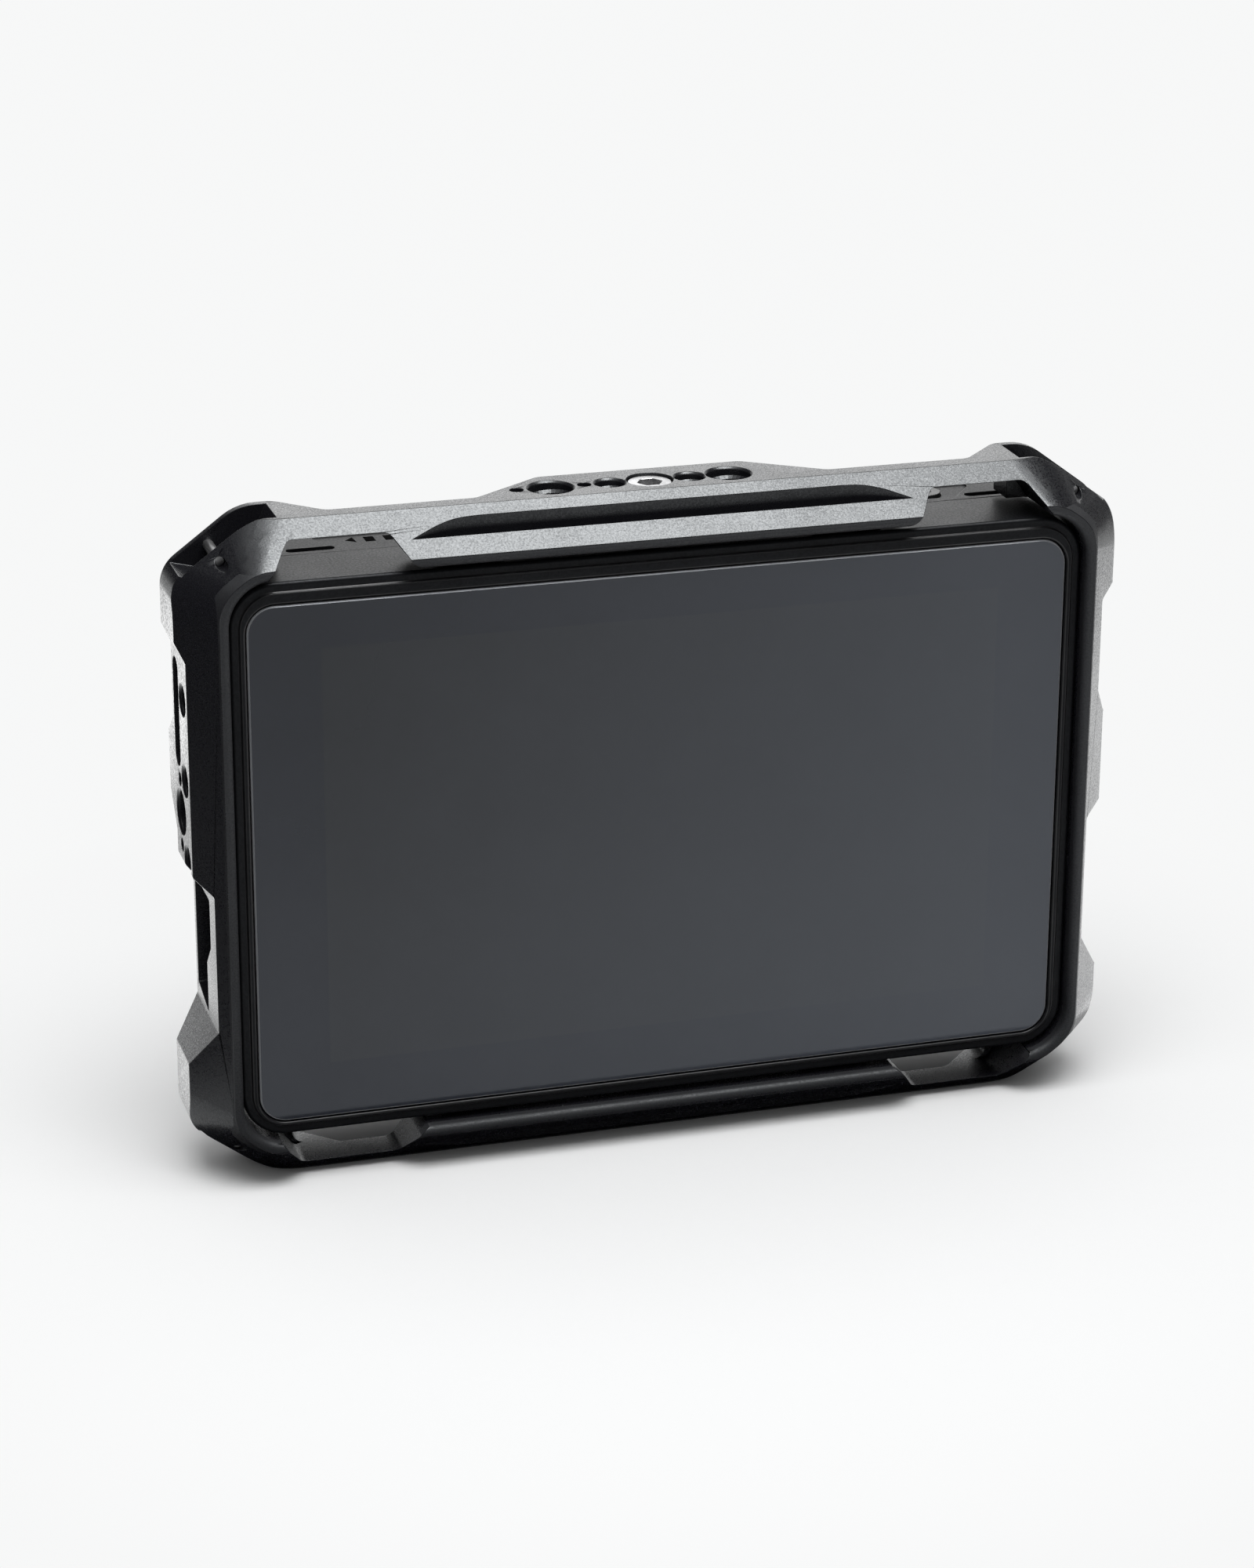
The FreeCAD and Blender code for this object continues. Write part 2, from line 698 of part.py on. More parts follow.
def notch():
    """Right top notch in the rim, over the housing's vents and keys."""
    foot = INNER_H / 2 - NOTCH_CLEAR
    outer_foot = NOTCH_X + NOTCH_W / 2 + NOTCH_SLANT
    bend = (INNER_R - NOTCH_CLEAR) / math.sqrt(2)
    corners = [
        (NOTCH_FOOT - 2 * NOTCH_FOOT_R, foot),
        (NOTCH_FOOT, foot, NOTCH_FOOT_R),
        (NOTCH_X - NOTCH_W / 2, INNER_H / 2 + NOTCH_H, NOTCH_TOP_R),
        (NOTCH_X + NOTCH_W / 2, INNER_H / 2 + NOTCH_H, NOTCH_TOP_R),
        (outer_foot, foot, NOTCH_FOOT_R / 2),
        (CORNER_X + bend, CORNER_Z + bend),
        (NOTCH_X, CORNER_Z),
    ]
    corners = [(c[0], level(c[1]), *c[2:]) for c in corners]
    front = prism("front", corners, depth(-2 * RIM_PROUD), depth(RING_BACK + NOTCH_PAST))
    rear = [
        (NOTCH_X - NOTCH_W / 2, CORNER_Z),
        (NOTCH_X + NOTCH_W / 2, CORNER_Z),
        (NOTCH_X + NOTCH_W / 2, INNER_H / 2 + NOTCH_H, NOTCH_TOP_R),
        (NOTCH_X - NOTCH_W / 2, INNER_H / 2 + NOTCH_H),
    ]
    rear = [(c[0], level(c[1]), *c[2:]) for c in rear]
    return front.fuse(prism("front", rear, depth(RING_BACK), depth(DEEPEST)))


def hood_slot():
    """Long slot sunk into the sloped face over the screen."""
    corners = [
        (-SLOT_FRONT_X, depth(SLOT_FRONT)),
        (SLOT_FRONT_X, depth(SLOT_FRONT)),
        (SLOT_BACK_X, depth(SLOT_BACK), SLOT_R),
        (-SLOT_BACK_X, depth(SLOT_BACK), SLOT_R),
    ]
    return prism("plan", corners, level(INNER_H / 2 + SLOT_FLOOR_T), CAGE_H + STEP_R)


def strap_slot():
    """Slot round the right top corner, with its floor parallel to the monitor's corner."""
    edge = CAGE_W / 2
    top = CAGE_H / 2
    corners = [
        (edge - STRAP_L, top + STEP_R),
        (edge - STRAP_L + NOTCH_SLANT, CORNER_Z + INNER_R),
        (CORNER_X + INNER_R, top - STRAP_DROP - STRAP_WALL),
        (edge + STEP_R, top - STRAP_DROP),
        (edge + STEP_R, top + STEP_R),
    ]
    corners = [(u, level(v)) for u, v in corners]
    back = BUMPER_BACK - STRAP_BACK_WALL
    space = prism("front", corners, depth(STRAP_FRONT), depth(back))
    return space.cut(rod_y(INNER_R + STRAP_WALL, CORNER_X, CORNER_Z, STRAP_FRONT, back))


def pin_place():
    return CAGE_W / 2 - PIN_IN, CAGE_H / 2 - PIN_DOWN


def threaded_z(r, x):
    """Thread core through the top tab, with its chamfered mouth."""
    top = CAGE_H / 2
    hole = rod_z(r, x, TAB_ROW_BACK, INNER_H / 2 - STEP_R, top + STEP_R)
    start = Vector(x, depth(TAB_ROW_BACK), level(top - MOUTH))
    mouth = Part.makeCone(r, r + MOUTH, MOUTH, start, AXIS["plan"])
    return hole.fuse(mouth)


def threaded_x(r, back, up, face):
    """Thread core through a side wall whose outer face is at X = face, with its chamfered mouth."""
    out = 1 if face > 0 else -1
    far = face + out * STEP_R
    near = out * (INNER_W / 2 - STEP_R)
    hole = rod_x(r, back, up, min(far, near), max(far, near))
    start = Vector(face - out * MOUTH, depth(back), level(up))
    mouth = Part.makeCone(r, r + MOUTH, MOUTH, start, AXIS["side"] * out)
    return hole.fuse(mouth)


def tab_holes():
    """Holes in the top tab: threads, locating holes and the fixing screw's counterbore."""
    top = CAGE_H / 2
    holes = [threaded_z(BIG_THREAD_R, x) for x in TAB_BIG_X]
    holes += [threaded_z(SMALL_THREAD_R, i * TAB_SMALL_PITCH / 2) for i in (-1, 1)]
    for i in (-1, 1):
        x = TAB_BIG_X[0] + i * LOCATING_PITCH / 2
        holes.append(rod_z(LOCATING_R, x, TAB_ROW_BACK, top - LOCATING_DEEP, top + STEP_R))
    holes.append(rod_z(COUNTERBORE_R, 0, TAB_ROW_BACK, top - COUNTERBORE_DEEP, top + STEP_R))
    holes.append(rod_z(CAGE_SCREW_HOLE_R, 0, TAB_ROW_BACK, INNER_H / 2 - STEP_R, top))
    return holes


def left_holes():
    face = LEFT_PAD_IN - CAGE_W / 2
    heights = [beside(LEFT_SMALL_Z + i * LEFT_SMALL_PITCH) for i in (-1, 0, 1)]
    holes = [threaded_x(SMALL_THREAD_R, LEFT_SMALL_BACK, up, face) for up in heights]
    holes.append(threaded_x(BIG_THREAD_R, LEFT_BIG_BACK, beside(LEFT_BIG_Z), face))
    for i in (-1, 1):
        up = beside(LEFT_BIG_Z) + i * LOCATING_PITCH / 2
        holes.append(rod_x(LOCATING_R, LEFT_BIG_BACK, up, face - STEP_R, face + LOCATING_DEEP))
    return holes


def right_holes():
    face = CAGE_W / 2 - RIGHT_PAD_IN
    heights = [beside(RIGHT_Z) + i * RIGHT_SMALL_PITCH / 2 for i in (-1, 1)]
    holes = [threaded_x(SMALL_THREAD_R, LEFT_SMALL_BACK, up, face) for up in heights]
    holes.append(threaded_x(BIG_THREAD_R, LEFT_BIG_BACK, beside(RIGHT_Z), face))
    return holes


def side_slot(low, high, front, back, x0, x1):
    """Upright slot with round ends through a side wall."""
    r = (back - front) / 2
    ends = [(low, front), (high, front), (high, back), (low, back)]
    return prism("side", [(level(beside(up)), depth(d), r) for up, d in ends], x0, x1)


def port_window(x0, x1):
    """Window in a side wall over the sockets, with a pointed lower end."""
    corners = [
        (WINDOW_TOP, WINDOW_UPPER_FRONT, STEP_R),
        (WINDOW_STEP_TOP, WINDOW_UPPER_FRONT, STEP_R),
        (WINDOW_STEP_LOW, WINDOW_FRONT, STEP_R),
        (WINDOW_LOW, WINDOW_FRONT, STEP_R / 2),
        (WINDOW_LOW + WINDOW_POINT, WINDOW_BACK, STEP_R),
        (WINDOW_TOP, WINDOW_BACK, STEP_R),
    ]
    return prism("side", [(level(beside(c[0])), depth(c[1]), c[2]) for c in corners], x0, x1)


def cage_frame():
    inner = INNER_W / 2 - STEP_R
    pin_x, pin_up = pin_place()
    cuts = four_ways(notch()) + four_ways(strap_slot())
    cuts += four_ways(rod_y(PIN_R, pin_x, pin_up, -RIM_PROUD, BUMPER_BACK + STEP_R))
    cuts += [hood_slot(), mirrored_z(hood_slot())]
    for hole in tab_holes():
        cuts += [hole, mirrored_z(hole)]
    cuts += left_holes() + right_holes()
    cuts.append(side_slot(LEFT_SLOT_LOW, LEFT_SLOT_TOP, LEFT_SLOT_FRONT, LEFT_SLOT_BACK, -CAGE_W, -inner))
    cuts.append(side_slot(RIGHT_SLOT_LOW, RIGHT_SLOT_TOP, RIGHT_SLOT_FRONT, RIGHT_SLOT_BACK, inner, CAGE_W))
    cuts += [port_window(-CAGE_W, -inner), port_window(inner, CAGE_W)]
    return cage_blank().cut(cuts).removeSplitter()


def strap_pins():
    x, up = pin_place()
    nx, nz = facet_way()
    front = facet_depth(x + nx * PIN_R, up + nz * PIN_R) + PIN_SUNK
    return four_ways(rod_y(PIN_R, x, up, front, BUMPER_BACK - PIN_SUNK))


def cage_screws():
    """Socket screws down through the top tab and up through the bottom tab."""
    seat = CAGE_H / 2 - COUNTERBORE_DEEP
    screw = rod_z(CAGE_SCREW_HEAD_R, 0, TAB_ROW_BACK, seat, seat + CAGE_SCREW_HEAD_T)
    screw = screw.fuse(rod_z(CAGE_SCREW_R, 0, TAB_ROW_BACK, seat - CAGE_SCREW_L, seat))
    key = Part.makePolygon([
        Vector(
            CAGE_SCREW_KEY / math.sqrt(3) * math.cos(math.radians(60 * i)),
            depth(TAB_ROW_BACK) + CAGE_SCREW_KEY / math.sqrt(3) * math.sin(math.radians(60 * i)),
            level(seat + CAGE_SCREW_HEAD_T - CAGE_SCREW_KEY_DEEP),
        )
        for i in range(7)
    ])
    socket = Part.Face(Part.Wire(key)).extrude(AXIS["plan"] * (CAGE_SCREW_KEY_DEEP + STEP_R))
    screw = screw.cut(socket).removeSplitter()
    return [screw, mirrored_z(screw)]


def mount_bushes():
    top = MON_H / 2
    bush = rod_z(BUSH_R, 0, TAB_ROW_BACK, top - BUSH_L, top)
    bush = bush.cut(rod_z(SMALL_THREAD_R, 0, TAB_ROW_BACK, top - BUSH_L, top))
    return [bush, mirrored_z(bush)]


def cage_pads():
    pads = []
    for i in (1, -1):
        low = MON_H / 2
        x = i * PAD_X
        pad = block(x - PAD_W / 2, x + PAD_W / 2, PAD_FRONT, PAD_FRONT + PAD_D, low, low + TOP_CLEAR)
        pads += [pad, mirrored_z(pad)]
    return pads


# Housing


def boss_places():
    return places(MON_W / 2 - BOSS_IN, MON_H / 2 - BOSS_IN)


def tray_places():
    return places(MON_W / 2 - TRAY_BOSS_IN, TRAY_BOSS_UP)


def sockets():
    """Each socket's side of the housing, height and width."""
    return [
        (-1, beside(VIDEO_IN_Z), VIDEO_W),
        (-1, beside(HEADPHONE_Z), JACK_W),
        (1, beside(VIDEO_OUT_Z), VIDEO_W),
        (1, beside(INLET_Z), INLET_W),
    ]


def front_bezel():
    """Front housing: a walled ring with a ledge that the glass sits on and bosses behind it."""
    back = SEAM_BACK - SEAM_GAP
    body = slab(MON_W, MON_H, MON_R, BAND_DEEP - BEZEL_PROUD, back)
    body = body.makeFillet(BEZEL_ROUND, edges_at_depth(body, BAND_DEEP - BEZEL_PROUD))
    lip = slab(MON_W - 2 * BAND_W, MON_H - 2 * BAND_W, MON_R - BAND_W, -BEZEL_PROUD, LEDGE_FRONT)
    body = body.fuse(lip.makeChamfer(BEZEL_BREAK, edges_at_depth(lip, -BEZEL_PROUD)))
    pocket_w = GLASS_W + 2 * GLASS_GAP
    pocket_h = GLASS_H + 2 * GLASS_GAP
    cuts = [
        slab(pocket_w, pocket_h, GLASS_R + GLASS_GAP, -2 * BEZEL_PROUD, LEDGE_FRONT, -GLASS_DOWN),
        slab(LCD_W + 2 * LCD_GAP, LCD_H + 2 * LCD_GAP, LCD_GAP, 0, LEDGE_BACK + STEP_R, VIEW_UP),
        slab(MON_W - 2 * WALL, MON_H - 2 * WALL, MON_R - WALL, LEDGE_BACK, back + STEP_R),
    ]
    ring = body.cut(cuts)
    mouth = mouth_edges(ring, -BEZEL_PROUD, pocket_w, pocket_h, -GLASS_DOWN)
    ring = ring.makeChamfer(BEZEL_BREAK, mouth)
    bosses = [rod_y(BOSS_R, x, up, LEDGE_BACK, SEAM_BACK) for x, up in boss_places()]
    bosses += [rod_y(TRAY_BOSS_R, x, up, LEDGE_BACK, TRAY_FRONT) for x, up in tray_places()]
    seat = rod_z(BUSH_R + BUSH_WALL, 0, TAB_ROW_BACK, MON_H / 2 - BUSH_L, MON_H / 2 - WALL / 2)
    seat = seat.common(slab(MON_W, MON_H, MON_R, 0, back))
    ring = joined([ring, seat, mirrored_z(seat)] + bosses)
    blind = SEAM_BACK - SHELL_SCREW_BITE - SCREW_BITE
    holes = [rod_y(SHELL_SCREW_R, x, up, blind, SEAM_BACK) for x, up in boss_places()]
    holes += [rod_y(TRAY_SCREW_R, x, up, TRAY_FRONT - SCREW_BITE, TRAY_FRONT) for x, up in tray_places()]
    bush = rod_z(BUSH_R, 0, TAB_ROW_BACK, MON_H / 2 - BUSH_L, MON_H / 2)
    holes += [bush, mirrored_z(bush)]
    for side, up, w in sockets():
        edge = side * MON_W / 2
        inside = edge - side * 2 * WALL
        half = w / 2 + SOCKET_GAP
        holes.append(block(
            min(edge, inside), max(edge, inside),
            BOARD_BACK - SOCKET_GAP, SOCKET_BACK + SOCKET_GAP, up - half, up + half,
        ))
    return ring.cut(holes).removeSplitter()


def key_hole_radius(r):
    return r + KEY_GAP


def control_panel():
    """Shallow panel in the housing's top that holds the keys."""
    half = PANEL_W / 2
    corners = [
        (PANEL_X - half, depth(PANEL_FRONT), PANEL_R),
        (PANEL_X + half, depth(PANEL_FRONT), PANEL_R),
        (PANEL_X + half + PANEL_FLARE, depth(PANEL_CORNER), PANEL_R),
        (PANEL_X + half + PANEL_FLARE, depth(SHELL_FLOOR)),
        (PANEL_X - half - PANEL_FLARE, depth(SHELL_FLOOR)),
        (PANEL_X - half - PANEL_FLARE, depth(PANEL_CORNER), PANEL_R),
    ]
    return prism("plan", corners, level(MON_H / 2 - PANEL_DEEP), level(MON_H / 2 + STEP_R))


def vents():
    """Round-ended slots through the housing's top, one each side of the control panel."""
    slots = []
    r = VENT_WIDE / 2
    for i in (-1, 1):
        x = PANEL_X + i * VENT_X
        ends = [(-1, -1), (1, -1), (1, 1), (-1, 1)]
        corners = [(x + a * VENT_L / 2, depth(VENT_BACK) + b * VENT_WIDE / 2, r) for a, b in ends]
        slots.append(prism("plan", corners, level(TOP_INSIDE - STEP_R), level(MON_H / 2 + STEP_R)))
    return slots


def grille():
    """Upright slots through the housing's back, behind the fan."""
    slots = []
    for i in range(GRILLE_SLOTS):
        x = (i - (GRILLE_SLOTS - 1) / 2) * GRILLE_PITCH
        reach = math.sqrt(FAN_BORE_R ** 2 - x ** 2) - GRILLE_WIDE
        slots.append(slab(
            GRILLE_WIDE, 2 * reach, GRILLE_WIDE / 2, SHELL_FLOOR - STEP_R, SHELL_BACK + STEP_R,
            FAN_Z, FAN_X + x,
        ))
    return slots


def fan_places():
    reach = FAN_SIZE / 2 - FAN_HOLE_IN
    return [(FAN_X + x, FAN_Z + up) for x, up in places(reach, reach)]


def plate_places():
    return [(i * PLATE_SCREW_X, up) for i in (-1, 1) for up in (-PLATE_SCREW_Z, PLATE_SCREW_Z)]


def pocket_size():
    """Width and height of the pocket that the battery latch moves in."""
    room = 2 * (LATCH_FLANGE + LATCH_GAP)
    return LATCH_W + room, LATCH_H + room


def countersink(x, up, r, head_r, back):
    """Cone for a flat screw head that ends flush at a depth."""
    deep = head_r - r
    return Part.makeCone(r, head_r, deep, Vector(x, depth(back - deep), level(up)), AXIS["front"])


def rear_shell():
    """Rear housing: a shell with screw bosses, control panel, vents and the latch pocket."""
    body = slab(MON_W, MON_H, MON_R, SEAM_BACK, SHELL_BACK)
    body = body.makeFillet(SHELL_ROUND, edges_at_depth(body, SHELL_BACK))
    shell = body.cut(slab(MON_W - 2 * WALL, MON_H - 2 * WALL, MON_R - WALL, 0, SHELL_FLOOR))
    pocket_w, pocket_h = pocket_size()
    pocket_front = SHELL_BACK - POCKET_DEEP
    extra = [rod_y(BOSS_R, x, up, SEAM_BACK, SHELL_FLOOR + WALL / 2) for x, up in boss_places()]
    extra += [
        rod_z(KEY_BOSS_R, x, KEY_BACK, KEY_BOARD_TOP, TOP_INSIDE + STEP_R) for x in KEY_BOSS_X
    ]
    extra.append(slab(
        pocket_w + 2 * POCKET_WALL, pocket_h + 2 * POCKET_WALL, POCKET_WALL,
        pocket_front - POCKET_WALL, SHELL_FLOOR + STEP_R, LATCH_Z,
    ))
    shell = joined([shell] + extra)
    cuts = [control_panel()] + vents() + grille()
    cuts.append(slab(pocket_w, pocket_h, LATCH_GAP, pocket_front, SHELL_BACK + STEP_R, LATCH_Z))
    for x, up in boss_places():
        cuts.append(rod_y(SHELL_SCREW_R, x, up, SEAM_BACK, SHELL_BACK))
        cuts.append(rod_y(SHELL_SCREW_HEAD_R, x, up, SHELL_BACK - SHELL_SCREW_HEAD_T, SHELL_BACK + STEP_R))
    for x, r in KEYS:
        cuts.append(rod_z(key_hole_radius(r), x, KEY_BACK, TOP_INSIDE - STEP_R, MON_H / 2 + STEP_R))
    for x in KEY_BOSS_X:
        cuts.append(rod_z(TRAY_SCREW_R, x, KEY_BACK, KEY_BOARD_TOP, KEY_BOARD_TOP + SCREW_BITE))
    for x, up in fan_places():
        cuts.append(rod_y(FAN_SCREW_R, x, up, SHELL_FLOOR, SHELL_BACK))
        cuts.append(countersink(x, up, FAN_SCREW_R, FAN_SCREW_HEAD_R, SHELL_BACK))
    for x, up in plate_places():
        cuts.append(rod_y(PLATE_SCREW_R, x, up, SHELL_FLOOR - STEP_R, SHELL_BACK + STEP_R))
    return shell.cut(cuts).removeSplitter()


def shell_screws():
    screws = []
    for x, up in boss_places():
        seat = SHELL_BACK - SHELL_SCREW_HEAD_T
        shank = rod_y(SHELL_SCREW_R, x, up, SEAM_BACK - SHELL_SCREW_BITE, seat)
        head = rod_y(SHELL_SCREW_HEAD_R, x, up, seat, SHELL_BACK - SHELL_SCREW_SUNK)
        screws.append(joined([shank, head]))
    return screws


# Display stack


def cover_glass():
    glass = slab(GLASS_W, GLASS_H, GLASS_R, 0, GLASS_T, -GLASS_DOWN)
    return glass.makeChamfer(GLASS_BEVEL, edges_at_depth(glass, 0))


def glass_seal():
    outer = slab(GLASS_W, GLASS_H, GLASS_R, GLASS_T, LEDGE_FRONT, -GLASS_DOWN)
    inner = slab(GLASS_W - 2 * SEAL_W, GLASS_H - SEAL_W, GLASS_R / 2, 0, SHELL_BACK, -GLASS_DOWN)
    room = slab(LCD_W + 2 * LCD_GAP, LCD_H + 2 * LCD_GAP, LCD_GAP, 0, SHELL_BACK, VIEW_UP)
    return outer.cut([inner, room]).removeSplitter()


def lcd_panel():
    return slab(LCD_W, LCD_H, LCD_GAP, GLASS_T, LCD_BACK, VIEW_UP)


def backlight():
    return slab(LCD_W, LCD_H, LCD_GAP, LCD_BACK, TRAY_FRONT, VIEW_UP)


def panel_tray():
    """Metal tray that holds the display stack against the glass."""
    h = MON_H - 4 * TRAY_GAP
    tray = slab(MON_W - 2 * (WALL + TRAY_GAP), h, 2 * STEP_R, TRAY_FRONT, TRAY_BACK)
    holes = [rod_y(TRAY_SCREW_R, x, up, TRAY_FRONT, TRAY_BACK) for x, up in tray_places()]
    return tray.cut(holes)


def tray_screws():
    screws = []
    for x, up in tray_places():
        shank = rod_y(TRAY_SCREW_R, x, up, TRAY_FRONT - SCREW_BITE, TRAY_BACK)
        head = rod_y(TRAY_SCREW_HEAD_R, x, up, TRAY_BACK, TRAY_BACK + TRAY_SCREW_HEAD_T)
        screws.append(joined([shank, head]))
    return screws


def panel_ribbon():
    """Flat cable from the panel's lower edge, under the tray and up to the board's edge."""
    x0 = RIBBON_X - RIBBON_W / 2
    x1 = RIBBON_X + RIBBON_W / 2
    panel_low = VIEW_UP - LCD_H / 2
    low = min(panel_low, 2 * TRAY_GAP - MON_H / 2) - RIBBON_LOOP
    start = LEDGE_BACK + RIBBON_GAP
    end = (BOARD_FRONT + BOARD_BACK) / 2
    return joined([
        block(x0, x1, start, start + RIBBON_T, low, panel_low),
        block(x0, x1, start, end, low, low + RIBBON_T),
        block(x0, x1, end - RIBBON_T, end, low, BOARD_LOW),
    ])


# Boards and cooling


def board_places():
    x = MON_W / 2 - VIDEO_L - BOARD_HOLE_CLEAR
    up = BOARD_H / 2 - BOARD_HOLE_IN
    return [(a, b - BOARD_DOWN) for a, b in places(x, up)]


def board_standoffs():
    posts = []
    for x, up in board_places():
        post = rod_y(STANDOFF_R, x, up, TRAY_BACK, BOARD_FRONT)
        posts.append(post.cut(rod_y(BOARD_SCREW_R, x, up, TRAY_BACK, BOARD_FRONT)))
    return posts


def main_board():
    board = slab(BOARD_W, BOARD_H, STEP_R, BOARD_FRONT, BOARD_BACK, -BOARD_DOWN)
    return board.cut([rod_y(BOARD_SCREW_R, x, up, BOARD_FRONT, BOARD_BACK) for x, up in board_places()])


def board_screws():
    screws = []
    for x, up in board_places():
        shank = rod_y(BOARD_SCREW_R, x, up, TRAY_BACK, BOARD_BACK)
        head = rod_y(BOARD_SCREW_HEAD_R, x, up, BOARD_BACK, BOARD_BACK + BOARD_SCREW_HEAD_T)
        screws.append(joined([shank, head]))
    return screws


def processor():
    return slab(
        PROCESSOR_SIZE, PROCESSOR_SIZE, STEP_R / 2, BOARD_BACK, BOARD_BACK + PROCESSOR_T, FAN_Z, FAN_X
    )


def memory_chips():
    x = FAN_X - SINK_SIZE / 2 - MEMORY_GAP
    back = BOARD_BACK + MEMORY_T
    heights = [FAN_Z + (i - 1.5) * MEMORY_PITCH for i in range(4)]
    return [slab(MEMORY_W, MEMORY_H, STEP_R / 2, BOARD_BACK, back, up, x) for up in heights]


def heat_sink():
    front = BOARD_BACK + PROCESSOR_T
    top = FAN_FRONT - SINK_FAN_GAP
    pieces = [slab(SINK_SIZE, SINK_SIZE, STEP_R, front, front + SINK_BASE_T, FAN_Z, FAN_X)]
    pitch = (SINK_SIZE - FIN_T) / (FIN_COUNT - 1)
    for i in range(FIN_COUNT):
        x = FAN_X - SINK_SIZE / 2 + i * pitch
        up = SINK_SIZE / 2 - STEP_R
        pieces.append(block(x, x + FIN_T, front + SINK_BASE_T / 2, top, FAN_Z - up, FAN_Z + up))
    return joined(pieces)


def fan_frame():
    """Square fan housing with its struts and bearing tube on the back."""
    back_plate = SHELL_FLOOR - FAN_BACK_T
    frame = slab(FAN_SIZE, FAN_SIZE, 2 * STEP_R, FAN_FRONT, SHELL_FLOOR, FAN_Z, FAN_X)
    frame = frame.cut(rod_y(FAN_BORE_R, FAN_X, FAN_Z, FAN_FRONT, SHELL_FLOOR))
    pieces = [frame, rod_y(FAN_HUB_R, FAN_X, FAN_Z, back_plate, SHELL_FLOOR)]
    for i in range(FAN_STRUTS):
        strut = block(
            FAN_X, FAN_X + FAN_BORE_R + STEP_R, back_plate, SHELL_FLOOR,
            FAN_Z - FAN_STRUT_W / 2, FAN_Z + FAN_STRUT_W / 2,
        )
        strut.rotate(Vector(FAN_X, 0, level(FAN_Z)), AXIS["front"], 45 + 360 * i / FAN_STRUTS)
        pieces.append(strut)
    pieces.append(rod_y(FAN_TUBE_R, FAN_X, FAN_Z, fan_cup_floor() + FAN_RUN_GAP, SHELL_FLOOR))
    body = joined(pieces)
    bore = rod_y(FAN_SHAFT_R + FAN_SHAFT_GAP, FAN_X, FAN_Z, FAN_FRONT, back_plate)
    holes = [rod_y(FAN_SCREW_R, x, up, SHELL_FLOOR - SCREW_BITE, SHELL_FLOOR) for x, up in fan_places()]
    return body.cut([bore] + holes).removeSplitter()


def fan_hub_back():
    return SHELL_FLOOR - FAN_BACK_T - FAN_RUN_GAP


def fan_cup_floor():
    """Depth of the inside of the rotor's cup."""
    return fan_hub_back() - FAN_HUB_T + FAN_HUB_WALL


def fan_rotor():
    """Cup-shaped hub with its shaft and pitched blades."""
    back = fan_hub_back()
    front = back - FAN_HUB_T
    tip = FAN_BORE_R - FAN_TIP_GAP
    chord = (FAN_HUB_T - FAN_BLADE_T) / math.sin(math.radians(FAN_BLADE_TILT))
    cup = rod_y(FAN_HUB_R, FAN_X, FAN_Z, front, back)
    pieces = [cup]
    for i in range(FAN_BLADES):
        middle = Vector(FAN_X, depth((front + back) / 2), level(FAN_Z))
        corner = middle + Vector(FAN_HUB_R - FAN_HUB_WALL, -FAN_BLADE_T / 2, -chord / 2)
        blade = Part.makeBox(tip - FAN_HUB_R + FAN_HUB_WALL, FAN_BLADE_T, chord, corner)
        blade.rotate(middle, AXIS["side"], FAN_BLADE_TILT)
        blade.rotate(middle, AXIS["front"], 360 * i / FAN_BLADES)
        pieces.append(blade)
    sweep = rod_y(tip, FAN_X, FAN_Z, front, back)
    body = joined(pieces).common(sweep)
    body = body.cut(rod_y(FAN_HUB_R - FAN_HUB_WALL, FAN_X, FAN_Z, fan_cup_floor(), back))
    shaft = rod_y(FAN_SHAFT_R, FAN_X, FAN_Z, front, back)
    return joined([body, shaft])


def fan_stator():
    front = fan_cup_floor() + 2 * FAN_RUN_GAP
    back = SHELL_FLOOR - FAN_BACK_T
    coil = rod_y(FAN_HUB_R - FAN_HUB_WALL - FAN_RUN_GAP, FAN_X, FAN_Z, front, back)
    return coil.cut(rod_y(FAN_TUBE_R, FAN_X, FAN_Z, front, back))


def fan_screws():
    screws = []
    for x, up in fan_places():
        shank = rod_y(FAN_SCREW_R, x, up, SHELL_FLOOR - SCREW_BITE, SHELL_BACK - STEP_R)
        screws.append(joined([shank, countersink(x, up, FAN_SCREW_R, FAN_SCREW_HEAD_R, SHELL_BACK)]))
    return screws


# Sockets


def socket_bar(side, up, w, t, start, end):
    """Bar along a socket's axis, between two distances in from its mouth."""
    middle = (BOARD_BACK + SOCKET_BACK) / 2
    x0 = side * (MON_W / 2 - start)
    x1 = side * (MON_W / 2 - end)
    return block(min(x0, x1), max(x0, x1), middle - t / 2, middle + t / 2, up - w / 2, up + w / 2)


def video_socket(side, up):
    """Metal socket with its contact tongue, its mouth flush with the housing's side."""
    deep = VIDEO_L - 2 * SOCKET_SKIN
    body = socket_bar(side, up, VIDEO_W, SOCKET_T, 0, VIDEO_L)
    hollow = socket_bar(side, up, VIDEO_W - 2 * SOCKET_SKIN, SOCKET_T - 2 * SOCKET_SKIN, -STEP_R, deep)
    tongue = socket_bar(side, up, VIDEO_TONGUE_W, VIDEO_TONGUE_T, 2 * SOCKET_SKIN, deep + SOCKET_SKIN)
    return joined([body.cut(hollow), tongue])


def jack(side, up, w, r, length):
    """Round jack socket."""
    body = socket_bar(side, up, w, SOCKET_T, 0, length)
    middle = (BOARD_BACK + SOCKET_BACK) / 2
    mouth = side * MON_W / 2
    inside = mouth - side * (length - 2 * SOCKET_SKIN)
    return body.cut(rod_x(r, middle, up, min(mouth, inside), max(mouth, inside)))


